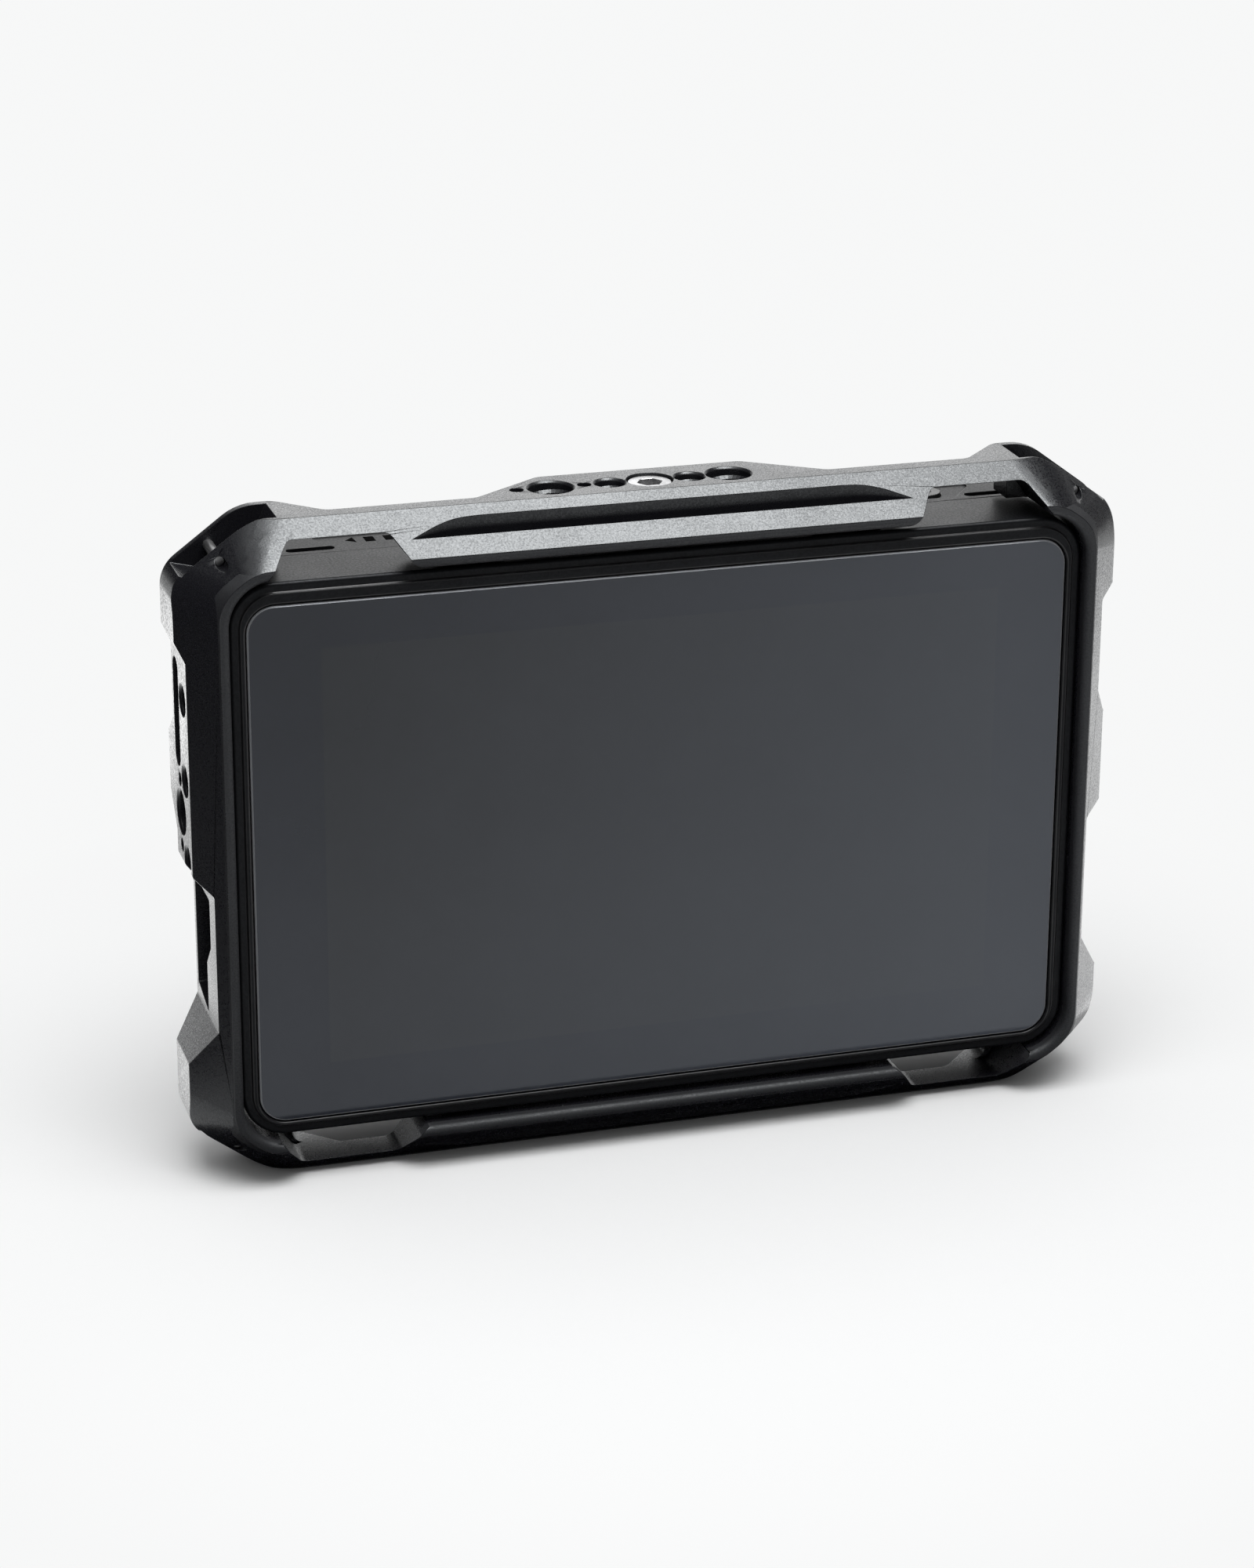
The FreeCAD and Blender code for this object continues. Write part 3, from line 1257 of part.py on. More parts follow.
def dc_inlet():
    """Power jack with its centre pin."""
    up = beside(INLET_Z)
    body = jack(1, up, INLET_W, INLET_R, JACK_L)
    middle = (BOARD_BACK + SOCKET_BACK) / 2
    pin = rod_x(INLET_PIN_R, middle, up, MON_W / 2 - JACK_L + SOCKET_SKIN, MON_W / 2 - SOCKET_SKIN)
    return joined([body, pin])


# Keys


def key_board():
    """Narrow board under the keys, hung from the housing's top."""
    low_x = min(x for x, r in KEYS) - KEY_BOARD_EDGE
    high_x = max(x for x, r in KEYS) + KEY_BOARD_EDGE
    front = KEY_BACK - KEY_BOARD_D / 2
    low = KEY_BOARD_TOP - KEY_BOARD_T
    board = block(low_x, high_x, front, front + KEY_BOARD_D, low, KEY_BOARD_TOP)
    return board.cut([rod_z(TRAY_SCREW_R, x, KEY_BACK, low, KEY_BOARD_TOP) for x in KEY_BOSS_X])


def key_board_screws():
    screws = []
    low = KEY_BOARD_TOP - KEY_BOARD_T
    for x in KEY_BOSS_X:
        shank = rod_z(TRAY_SCREW_R, x, KEY_BACK, low, KEY_BOARD_TOP + SCREW_BITE)
        head = rod_z(TRAY_SCREW_HEAD_R, x, KEY_BACK, low - TRAY_SCREW_HEAD_T, low)
        screws.append(joined([shank, head]))
    return screws


def key_switches():
    switches = []
    half = SWITCH_SIZE / 2
    for x, r in KEYS:
        base = block(x - half, x + half, KEY_BACK - half, KEY_BACK + half, KEY_BOARD_TOP, SWITCH_TOP)
        hole = rod_z(PLUNGER_R + PLUNGER_GAP, x, KEY_BACK, SWITCH_HOLE_LOW, SWITCH_TOP)
        switches.append(base.cut(hole))
    return switches


def key_button(x, r):
    """Round key cap with its retaining flange and stem."""
    cap = rod_z(r, x, KEY_BACK, STEM_TOP, MON_H / 2 + KEY_PROUD)
    rim = [e for e in cap.Edges if e.BoundBox.ZMin > level(MON_H / 2)]
    cap = cap.makeFillet(KEY_PROUD / 2, rim)
    flange = rod_z(r + KEY_FLANGE, x, KEY_BACK, STEM_TOP, FLANGE_TOP)
    stem = rod_z(STEM_R, x, KEY_BACK, PLUNGER_TOP, STEM_TOP)
    return joined([cap, flange, stem])


def key_plunger(x):
    return rod_z(PLUNGER_R, x, KEY_BACK, PLUNGER_LOW, PLUNGER_TOP)


# Battery mount


def battery_plate():
    """Plate with two lipped rails that a battery slides down, screwed to the housing's back."""
    plate = slab(PLATE_W, PLATE_H, PLATE_R, SHELL_BACK, PLATE_BACK)
    edge = PLATE_W / 2
    top = PLATE_BACK + RAIL_H
    half = PLATE_H / 2 - PLATE_R
    rail = block(edge - RAIL_W, edge, PLATE_BACK - STEP_R, top, -half, half)
    lip = block(edge - RAIL_W - RAIL_LIP_W, edge, top - RAIL_LIP_T, top, -half, half)
    whole = joined([plate, rail, lip, mirrored_x(rail), mirrored_x(lip)])
    w = LATCH_W + 2 * LATCH_GAP
    h = LATCH_H + 2 * LATCH_GAP
    cuts = [slab(w, h, LATCH_GAP, SHELL_BACK - STEP_R, top, LATCH_Z)]
    for x, up in plate_places():
        cuts.append(rod_y(PLATE_SCREW_R, x, up, SHELL_BACK, PLATE_BACK))
        cuts.append(countersink(x, up, PLATE_SCREW_R, PLATE_SCREW_HEAD_R, PLATE_BACK))
    return whole.cut(cuts).removeSplitter()


def plate_screws():
    screws = []
    for x, up in plate_places():
        shank = rod_y(PLATE_SCREW_R, x, up, SHELL_FLOOR - STEP_R, PLATE_BACK - STEP_R)
        screws.append(joined([shank, countersink(x, up, PLATE_SCREW_R, PLATE_SCREW_HEAD_R, PLATE_BACK)]))
    return screws


def latch_flange_back():
    return SHELL_BACK - LATCH_GAP


def battery_latch():
    """Sprung tongue that stands out of the plate and locks the battery."""
    back = latch_flange_back()
    tip = PLATE_BACK + LATCH_PROUD
    tongue = slab(LATCH_W, LATCH_H, LATCH_GAP, back - LATCH_FLANGE_T, tip, LATCH_Z)
    ramp = prism(
        "side",
        [
            (level(LATCH_Z + LATCH_H / 2), depth(tip - LATCH_PROUD)),
            (level(LATCH_Z + LATCH_H / 2), depth(tip)),
            (level(LATCH_Z - LATCH_H / 6), depth(tip)),
        ],
        -LATCH_W, LATCH_W,
    )
    w = LATCH_W + 2 * LATCH_FLANGE
    h = LATCH_H + 2 * LATCH_FLANGE
    flange = slab(w, h, LATCH_GAP, back - LATCH_FLANGE_T, back, LATCH_Z)
    return joined([tongue.cut(ramp), flange])


def latch_spring():
    """Coil spring between the pocket's floor and the latch's flange, with its ends ground flat."""
    floor = SHELL_BACK - POCKET_DEEP
    seat = latch_flange_back() - LATCH_FLANGE_T
    height = seat - floor
    helix = Part.makeHelix(height / SPRING_TURNS, height, SPRING_R)
    start = Vector(SPRING_R, 0, 0)
    way = Vector(0, 2 * math.pi * SPRING_R, height / SPRING_TURNS)
    section = Part.Wire(Part.makeCircle(SPRING_WIRE_R, start, way))
    coil = Part.Wire(helix).makePipeShell([section], True, True)
    coil.rotate(Vector(0, 0, 0), AXIS["side"], -90)
    coil.translate(Vector(0, depth(floor), level(LATCH_Z)))
    return coil.common(rod_y(2 * SPRING_R, 0, LATCH_Z, floor, seat))


def contact_block():
    back = PLATE_BACK + CONTACT_BLOCK_T
    return slab(CONTACT_BLOCK_W, CONTACT_BLOCK_H, STEP_R, PLATE_BACK, back, CONTACT_Z)


def battery_contacts():
    front = PLATE_BACK + CONTACT_BLOCK_T
    return [rod_y(CONTACT_R, i * CONTACT_PITCH, CONTACT_Z, front, front + CONTACT_L / 2) for i in (-1, 0, 1)]


def nodes():
    """Every piece, by name: a solid, or a list of like solids."""
    named = {
        "cage_frame": cage_frame(),
        "strap_pins": strap_pins(),
        "cage_screws": cage_screws(),
        "mount_bushes": mount_bushes(),
        "cage_pads": cage_pads(),
        "front_bezel": front_bezel(),
        "rear_shell": rear_shell(),
        "shell_screws": shell_screws(),
        "cover_glass": cover_glass(),
        "glass_seal": glass_seal(),
        "lcd_panel": lcd_panel(),
        "backlight": backlight(),
        "panel_tray": panel_tray(),
        "tray_screws": tray_screws(),
        "panel_ribbon": panel_ribbon(),
        "board_standoffs": board_standoffs(),
        "main_board": main_board(),
        "board_screws": board_screws(),
        "processor": processor(),
        "memory_chips": memory_chips(),
        "heat_sink": heat_sink(),
        "fan_frame": fan_frame(),
        "fan_rotor": fan_rotor(),
        "fan_stator": fan_stator(),
        "fan_screws": fan_screws(),
        "video_input": video_socket(-1, beside(VIDEO_IN_Z)),
        "video_output": video_socket(1, beside(VIDEO_OUT_Z)),
        "headphone_jack": jack(-1, beside(HEADPHONE_Z), JACK_W, JACK_R, JACK_L),
        "dc_inlet": dc_inlet(),
        "key_board": key_board(),
        "key_board_screws": key_board_screws(),
        "key_switches": key_switches(),
        "battery_plate": battery_plate(),
        "plate_screws": plate_screws(),
        "battery_latch": battery_latch(),
        "latch_spring": latch_spring(),
        "contact_block": contact_block(),
        "battery_contacts": battery_contacts(),
    }
    for name, (x, r) in zip(KEY_NAMES, KEYS):
        named[name + "_button"] = key_button(x, r)
        named[name + "_plunger"] = key_plunger(x)
    return named


def main():
    os.makedirs("parts", exist_ok=True)
    for name, shape in nodes().items():
        solids = shape if isinstance(shape, list) else shape.Solids
        whole = solids[0] if len(solids) == 1 else Part.makeCompound(solids)
        whole.exportStep(os.path.join("parts", name + ".step"))
        print(name, len(solids), "valid" if whole.isValid() else "INVALID", round(whole.Volume, 2))


main()
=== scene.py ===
"""Looks of a field monitor in a machined cage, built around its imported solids."""
import json
import logging
import math
from collections.abc import Callable
from dataclasses import dataclass, field
from enum import Enum
from functools import partial

import bmesh
import bpy
from bmesh.types import BMesh, BMVert
from bpy.types import Material, Node, NodeSocket, NodeTree, Object
from mathutils import Matrix, Vector


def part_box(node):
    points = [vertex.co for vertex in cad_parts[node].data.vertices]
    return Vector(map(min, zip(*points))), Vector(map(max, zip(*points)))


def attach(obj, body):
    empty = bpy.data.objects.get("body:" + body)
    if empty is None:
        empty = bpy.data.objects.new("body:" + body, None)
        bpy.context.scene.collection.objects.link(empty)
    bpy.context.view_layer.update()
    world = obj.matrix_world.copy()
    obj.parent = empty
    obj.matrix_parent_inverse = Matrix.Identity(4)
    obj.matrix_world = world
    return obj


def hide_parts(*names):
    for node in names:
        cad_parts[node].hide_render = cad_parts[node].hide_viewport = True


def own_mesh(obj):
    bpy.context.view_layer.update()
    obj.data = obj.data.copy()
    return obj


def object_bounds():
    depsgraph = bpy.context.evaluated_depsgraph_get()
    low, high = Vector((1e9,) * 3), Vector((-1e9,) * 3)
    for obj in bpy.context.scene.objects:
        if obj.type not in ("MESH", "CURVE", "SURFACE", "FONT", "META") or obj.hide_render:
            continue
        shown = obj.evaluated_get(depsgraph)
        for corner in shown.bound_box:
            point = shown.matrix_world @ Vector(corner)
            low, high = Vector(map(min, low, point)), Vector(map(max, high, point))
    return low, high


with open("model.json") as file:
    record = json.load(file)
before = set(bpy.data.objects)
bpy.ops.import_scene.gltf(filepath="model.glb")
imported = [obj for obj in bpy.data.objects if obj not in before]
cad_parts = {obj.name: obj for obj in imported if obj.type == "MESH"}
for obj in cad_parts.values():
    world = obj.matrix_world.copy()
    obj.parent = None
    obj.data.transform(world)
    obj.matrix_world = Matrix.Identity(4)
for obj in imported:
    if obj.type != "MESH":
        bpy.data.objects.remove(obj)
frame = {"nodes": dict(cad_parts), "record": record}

Rgb = tuple[float, float, float]
Spot = tuple[float, float, float]
Point = tuple[float, float]
Outline = Callable[[float], float]

CAD_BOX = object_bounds()
MM = 0.001
BODY = "monitor"
SAME_POINT = 2e-6
TINY = 1e-6
FLAT_ANGLE = 0.6
SOFT_ANGLE = 32.0
FACE_WEIGHT = 90
EVEN = (1.0, 1.0, 1.0)
WHITE: Rgb = (0.93, 0.935, 0.935)
log = logging.getLogger("field_monitor")


class Grain(Enum):
    """Surface textures: cells per metre and the stretch along X, Y and Z."""

    BLASTED = (2600.0, EVEN)
    MOULDED = (2100.0, EVEN)
    BRUSHED = (5200.0, (0.03, 1.0, 1.0))
    TURNED = (4200.0, (1.0, 0.05, 1.0))
    POLISHED = (240.0, EVEN)


class Edge(Enum):
    """Widths of softened edges, in millimetres."""

    KEY = 0.04
    FINE = 0.1
    THIN = 0.12
    MACHINED = 0.14
    MOULDED = 0.15
    BROAD = 0.2
    PIN = 0.25


class Graph:
    """Adds and joins nodes in one shader tree."""

    color_inputs = (6, 7)
    color_output = 2

    def __init__(self, tree: NodeTree) -> None:
        """Keep the tree that nodes are added to."""
        self.tree = tree

    def add(self, kind: str, values: dict | None = None, **settings) -> Node:
        """Add one node.

        Args:
            kind: Blender's name of the node type.
            values: Input values by socket name or number.
            settings: Attributes of the node itself.

        Returns:
            The new node.
        """
        node = self.tree.nodes.new(kind)
        for key, value in settings.items():
            setattr(node, key, value)
        for key, value in (values or {}).items():
            node.inputs[key].default_value = value
        return node

    def join(self, source: NodeSocket, target: NodeSocket) -> None:
        """Link an output to an input."""
        self.tree.links.new(source, target)

    def group(self, tree: NodeTree, **values) -> Node:
        """Add a shared effect with its input values."""
        return self.add("ShaderNodeGroup", values, node_tree=tree)

    def texture(self, kind: str, **values) -> Node:
        """Add a texture that is laid on the object's own coordinates.

        Args:
            kind: Blender's name of the texture node.
            values: Input values by socket name.

        Returns:
            The new node.
        """
        node = self.add(kind, values)
        self.join(self.add("ShaderNodeTexCoord").outputs["Object"], node.inputs["Vector"])
        return node

    def axes(self, kind: str) -> bpy.types.bpy_prop_collection:
        """Split a texture coordinate.

        Args:
            kind: Blender's name of the coordinate.

        Returns:
            The outputs for X, Y and Z.
        """
        split = self.add("ShaderNodeSeparateXYZ")
        self.join(self.add("ShaderNodeTexCoord").outputs[kind], split.inputs[0])
        return split.outputs

    def math(self, operation: str, *terms) -> NodeSocket:
        """Add a Math node.

        Args:
            operation: Blender's name of the operation.
            terms: Numbers or sockets, in order.

        Returns:
            The node's output.
        """
        node = self.add("ShaderNodeMath", operation=operation)
        for i, term in enumerate(terms):
            if isinstance(term, NodeSocket):
                self.join(term, node.inputs[i])
            else:
                node.inputs[i].default_value = term
        return node.outputs[0]

    def remap(self, value: NodeSocket, low: float, high: float, to_low: float, to_high: float):
        """Add a clamped Map Range node.

        Args:
            value: Socket to map.
            low: Value that becomes to_low.
            high: Value that becomes to_high.
            to_low: First end of the result.
            to_high: Other end of the result.

        Returns:
            The node's output.
        """
        names = ("From Min", "From Max", "To Min", "To Max")
        node = self.add("ShaderNodeMapRange", dict(zip(names, (low, high, to_low, to_high))))
        self.join(value, node.inputs["Value"])
        return node.outputs["Result"]

    def blend(self, share: NodeSocket, first, second) -> NodeSocket:
        """Mix two colours.

        Args:
            share: Socket with the second colour's share.
            first: Colour or socket.
            second: Colour or socket.

        Returns:
            The mixed colour's output.
        """
        node = self.add("ShaderNodeMix", data_type="RGBA")
        self.join(share, node.inputs[0])
        for slot, color in zip(self.color_inputs, (first, second)):
            if isinstance(color, NodeSocket):
                self.join(color, node.inputs[slot])
            else:
                node.inputs[slot].default_value = (*color, 1.0)
        return node.outputs[self.color_output]

    def seen(self) -> NodeSocket:
        """Mask of the rays that see the studio's plain white.

        Returns:
            The mask's output.
        """
        path = self.add("ShaderNodeLightPath")
        direct = self.math("MAXIMUM", path.outputs["Is Camera Ray"], path.outputs["Is Glossy Ray"])
        return self.math("MAXIMUM", direct, path.outputs["Is Transmission Ray"])

    def whiten(self, share: NodeSocket, plain: Node, white: Node) -> None:
        """Mix a shader with a white one and put the mixture on the surface.

        Args:
            share: Socket with the white shader's share.
            plain: The shader.
            white: The white shader.
        """
        mix = self.add("ShaderNodeMixShader")
        for slot, source in enumerate((share, plain.outputs[0], white.outputs[0])):
            self.join(source, mix.inputs[slot])
        end = next(n for n in self.tree.nodes if n.type in ("OUTPUT_MATERIAL", "OUTPUT_WORLD"))
        self.join(mix.outputs[0], end.inputs["Surface"])


class Effects:
    """Shader node groups that several finishes share, each built once."""

    cloud_range = (0.3, 0.7)
    wear_range = (-0.08, 0.16)

    @staticmethod
    def start(
        name: str, inputs: dict[str, str], outputs: tuple[str, ...],
    ) -> tuple[NodeTree, Graph, Node, Node]:
        """Make an empty group with its sockets.

        Args:
            name: Name of the group.
            inputs: Socket types by input name.
            outputs: Names of the value outputs.

        Returns:
            The group, the graph that fills it, and its nodes for inputs and outputs.
        """
        tree = bpy.data.node_groups.new(name, "ShaderNodeTree")
        for socket, kind in inputs.items():
            tree.interface.new_socket(name=socket, in_out="INPUT", socket_type=kind)
        for socket in outputs:
            tree.interface.new_socket(name=socket, in_out="OUTPUT", socket_type="NodeSocketFloat")
        graph = Graph(tree)
        return tree, graph, graph.add("NodeGroupInput"), graph.add("NodeGroupOutput")

    @classmethod
    def grain(cls) -> NodeTree:
        """Fine grain: a height for bumps and a slow cloud for shade.

        Returns:
            The group, with inputs Cells and Stretch, and outputs Height and Cloud.
        """
        known = bpy.data.node_groups.get("fine_grain")
        if known:
            return known
        sockets = {"Cells": "NodeSocketFloat", "Stretch": "NodeSocketVector"}
        tree, graph, given, put = cls.start("fine_grain", sockets, ("Height", "Cloud"))
        place = graph.add("ShaderNodeTexCoord")
        drawn = graph.add("ShaderNodeVectorMath", operation="MULTIPLY")
        graph.join(place.outputs["Object"], drawn.inputs[0])
        graph.join(given.outputs["Stretch"], drawn.inputs[1])
        fine = graph.add("ShaderNodeTexNoise", {"Detail": 3.0, "Roughness": 0.6})
        graph.join(drawn.outputs[0], fine.inputs["Vector"])
        graph.join(given.outputs["Cells"], fine.inputs["Scale"])
        slow = graph.texture("ShaderNodeTexNoise", Detail=4.0, Roughness=0.55, Scale=55.0)
        graph.join(fine.outputs["Fac"], put.inputs["Height"])
        graph.join(graph.remap(slow.outputs["Fac"], *cls.cloud_range, 0.0, 1.0), put.inputs["Cloud"])
        return tree

    @classmethod
    def wear(cls) -> NodeTree:
        """Broken wear, for the machined edges of a coated part.

        Returns:
            The group, with inputs Cells and Amount, and output Mask.
        """
        known = bpy.data.node_groups.get("edge_wear")
        if known:
            return known
        sockets = {"Cells": "NodeSocketFloat", "Amount": "NodeSocketFloat"}
        tree, graph, given, put = cls.start("edge_wear", sockets, ("Mask",))
        noise = graph.texture("ShaderNodeTexNoise", Detail=5.0, Roughness=0.65)
        graph.join(given.outputs["Cells"], noise.inputs["Scale"])
        limit = graph.math("SUBTRACT", 1.0, given.outputs["Amount"])
        over = graph.math("SUBTRACT", noise.outputs["Fac"], limit)
        graph.join(graph.remap(over, *cls.wear_range, 0.0, 1.0), put.inputs["Mask"])
        return tree

    @classmethod
    def dust(cls) -> NodeTree:
        """Scattered specks of dust, each a small round dot.

        Returns:
            The group, with inputs Cells, Share and Size, and output Mask.
        """
        known = bpy.data.node_groups.get("dust_specks")
        if known:
            return known
        sockets = {name: "NodeSocketFloat" for name in ("Cells", "Share", "Size")}
        tree, graph, given, put = cls.start("dust_specks", sockets, ("Mask",))
        cells = graph.texture("ShaderNodeTexVoronoi")
        graph.join(given.outputs["Cells"], cells.inputs["Scale"])
        parts = graph.add("ShaderNodeSeparateColor")
        graph.join(cells.outputs["Color"], parts.inputs[0])
        chosen = graph.math("LESS_THAN", parts.outputs[0], given.outputs["Share"])
        reach = graph.math("MULTIPLY", parts.outputs[1], given.outputs["Size"])
        inside = graph.math("LESS_THAN", cells.outputs["Distance"], reach)
        graph.join(graph.math("MULTIPLY", chosen, inside), put.inputs["Mask"])
        return tree


def new_material(name: str, values: dict) -> tuple[Material, Graph, Node]:
    """Start a material that holds one Principled shader.

    Args:
        name: Name of the material.
        values: The shader's even values, by socket name.

    Returns:
        The material, its graph and its shader.
    """
    material = bpy.data.materials.new(name)
    material.use_nodes = True
    shader = material.node_tree.nodes["Principled BSDF"]
    for key, value in values.items():
        shader.inputs[key].default_value = value
    return material, Graph(material.node_tree), shader


@dataclass(frozen=True)
class Finish:
    """One finish: its colours, gloss, grain, wear and dust; lengths are in millimetres."""

    name: str
    color: Rgb
    light: Rgb
    roughness: float
    spread: float = 0.06
    metallic: float = 0.0
    ior: float = 1.5
    grain: Grain = Grain.MOULDED
    bump: float = 0.02
    wear: float = 0.0
    worn: Rgb = (0.2, 0.2, 0.2)
    dust: float = 0.0
    tint: Rgb = EVEN
    cloud: float = 0.4
    matt: float = 0.0
    lip_reach: float = 2.8
    mottle: Point = (0.35, 0.65)
    wear_cells: float = 420.0
    dust_cells: float = 430.0
    dust_size: float = 0.09
    dusty: Rgb = (0.3, 0.3, 0.29)
    relief: float = 0.6

    def lip(self, graph: Graph, gloss: NodeSocket) -> NodeSocket:
        """Make the rounded lip round the housing matt.

        Args:
            graph: The material's graph.
            gloss: Roughness elsewhere.

        Returns:
            The roughness with the lip's.
        """
        low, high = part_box("front_bezel")
        axes = graph.axes("Object")
        inside = graph.math("LESS_THAN", axes[1], low.y)
        for axis in (0, 2):
            off = graph.math("SUBTRACT", axes[axis], (low[axis] + high[axis]) / 2)
            reach = (high[axis] - low[axis]) / 2 + self.lip_reach * MM
            near = graph.math("LESS_THAN", graph.math("ABSOLUTE", off), reach)
            inside = graph.math("MULTIPLY", inside, near)
        return graph.math("MULTIPLY_ADD", inside, self.matt, gloss)

    def material(self) -> Material:
        """Build the material, or find it if it was built before.

        Returns:
            The finish as a procedural material.
        """
        known = bpy.data.materials.get(self.name)
        if known:
            return known
        even = {"Metallic": self.metallic, "IOR": self.ior, "Specular Tint": (*self.tint, 1.0)}
        material, graph, shader = new_material(self.name, even)
        cells, stretch = self.grain.value
        grain = graph.group(Effects.grain(), Cells=cells, Stretch=stretch)
        height = grain.outputs["Height"]
        slow = graph.math("MULTIPLY", grain.outputs["Cloud"], self.cloud)
        mixed = graph.math("MULTIPLY_ADD", height, 1.0 - self.cloud, slow)
        color = graph.blend(graph.remap(mixed, *self.mottle, 0.0, 1.0), self.color, self.light)
        rough, smooth = self.roughness + self.spread, self.roughness - self.spread
        gloss = graph.remap(mixed, *self.mottle, rough, smooth)
        if self.matt:
            gloss = self.lip(graph, gloss)
        if self.wear:
            wear = graph.group(Effects.wear(), Cells=self.wear_cells, Amount=self.wear)
            color = graph.blend(wear.outputs["Mask"], color, self.worn)
        if self.dust:
            dust = graph.group(Effects.dust(), Cells=self.dust_cells, Share=self.dust, Size=self.dust_size)
            color = graph.blend(dust.outputs["Mask"], color, self.dusty)
        graph.join(color, shader.inputs["Base Color"])
        graph.join(gloss, shader.inputs["Roughness"])
        relief = graph.add("ShaderNodeBump", {"Strength": self.relief, "Distance": self.bump * MM})
        graph.join(height, relief.inputs["Height"])
        graph.join(relief.outputs["Normal"], shader.inputs["Normal"])
        return material


@dataclass(frozen=True)
class GlassFinish:
    """Black-backed cover glass: a border round the picture area, under a thin hazy film and dust; the film
    is also painted light, lighter towards the right and towards the bottom.

    edge_blur is in millimetres, dust_span in metres along X.
    """

    name: str = "cover_glass_black"
    border: Rgb = (0.0028, 0.0034, 0.0064)
    picture: Rgb = (0.0070, 0.0074, 0.0080)
    # Colour of the film: a faint random hazy cloud, and painted light where the film grows towards the
    # right and the bottom.
    haze_and_painted_light: Rgb = (0.088, 0.096, 0.112)
    dusty: Rgb = (0.16, 0.17, 0.18)
    # Painted highlight on the glass's bevelled edge.
    bevel_highlight: Rgb = (0.17, 0.175, 0.185)
    tint: Rgb = (0.9, 0.94, 1.0)
    ior: float = 1.48
    edge_blur: float = 0.15
    cells: float = 90.0
    painted_light_right: float = 0.38
    painted_light_down: float = 0.17
    haze_cloud: float = 0.03
    dust_span: Point = (-0.05, 0.085)
    dust_share: Point = (0.004, 0.05)
    dust_cells: float = 560.0
    dust_size: float = 0.1
    dust_rough: float = 0.4
    rough: Point = (0.025, 0.075)
    bevel: Point = (-0.97, -0.85)
    ground: float = 0.28

    def material(self, low: Vector, high: Vector) -> Material:
        """Build the material.

        Args:
            low: Lowest corner of the picture area.
            high: Highest corner of the picture area.

        Returns:
            The glass as a procedural material.
        """
        even = {"IOR": self.ior, "Specular Tint": (*self.tint, 1.0)}
        material, graph, shader = new_material(self.name, even)
        axes = graph.axes("Object")
        middle = (low + high) / 2
        half = (high - low) / 2
        inside = []
        for axis in (0, 2):
            off = graph.math("ABSOLUTE", graph.math("SUBTRACT", axes[axis], middle[axis]))
            blur = self.edge_blur * MM
            inside.append(graph.remap(off, half[axis] - blur, half[axis] + blur, 1.0, 0.0))
        picture = graph.math("MULTIPLY", *inside)
        color = graph.blend(picture, self.border, self.picture)
        grain = graph.group(Effects.grain(), Cells=self.cells, Stretch=EVEN)
        cloud = grain.outputs["Cloud"]
        # Painted light: the film's share rises towards the right and towards the bottom, so the glass reads
        # lighter there as if lit more.
        right = graph.remap(axes[0], low.x, high.x, 0.0, self.painted_light_right)
        down = graph.remap(axes[2], high.z, low.z, 0.0, self.painted_light_down)
        film = graph.math("MULTIPLY_ADD", cloud, self.haze_cloud, graph.math("ADD", right, down))
        color = graph.blend(film, color, self.haze_and_painted_light)
        side = graph.remap(axes[0], *self.dust_span, *self.dust_share)
        dust = graph.group(Effects.dust(), Cells=self.dust_cells, Size=self.dust_size)
        graph.join(graph.math("MULTIPLY", side, cloud), dust.inputs["Share"])
        color = graph.blend(dust.outputs["Mask"], color, self.dusty)
        # Painted highlight: faces of the glass that turn away from the front, its bevelled edge, are
        # coloured lighter; they are also made rougher.
        bevel = graph.remap(graph.axes("Normal")[1], *self.bevel, 0.0, 1.0)
        color = graph.blend(bevel, color, self.bevel_highlight)
        graph.join(color, shader.inputs["Base Color"])
        smear = graph.remap(cloud, 0.0, 1.0, *self.rough)
        rough = graph.math("MULTIPLY_ADD", dust.outputs["Mask"], self.dust_rough, smear)
        graph.join(graph.math("MULTIPLY_ADD", bevel, self.ground, rough), shader.inputs["Roughness"])
        return material


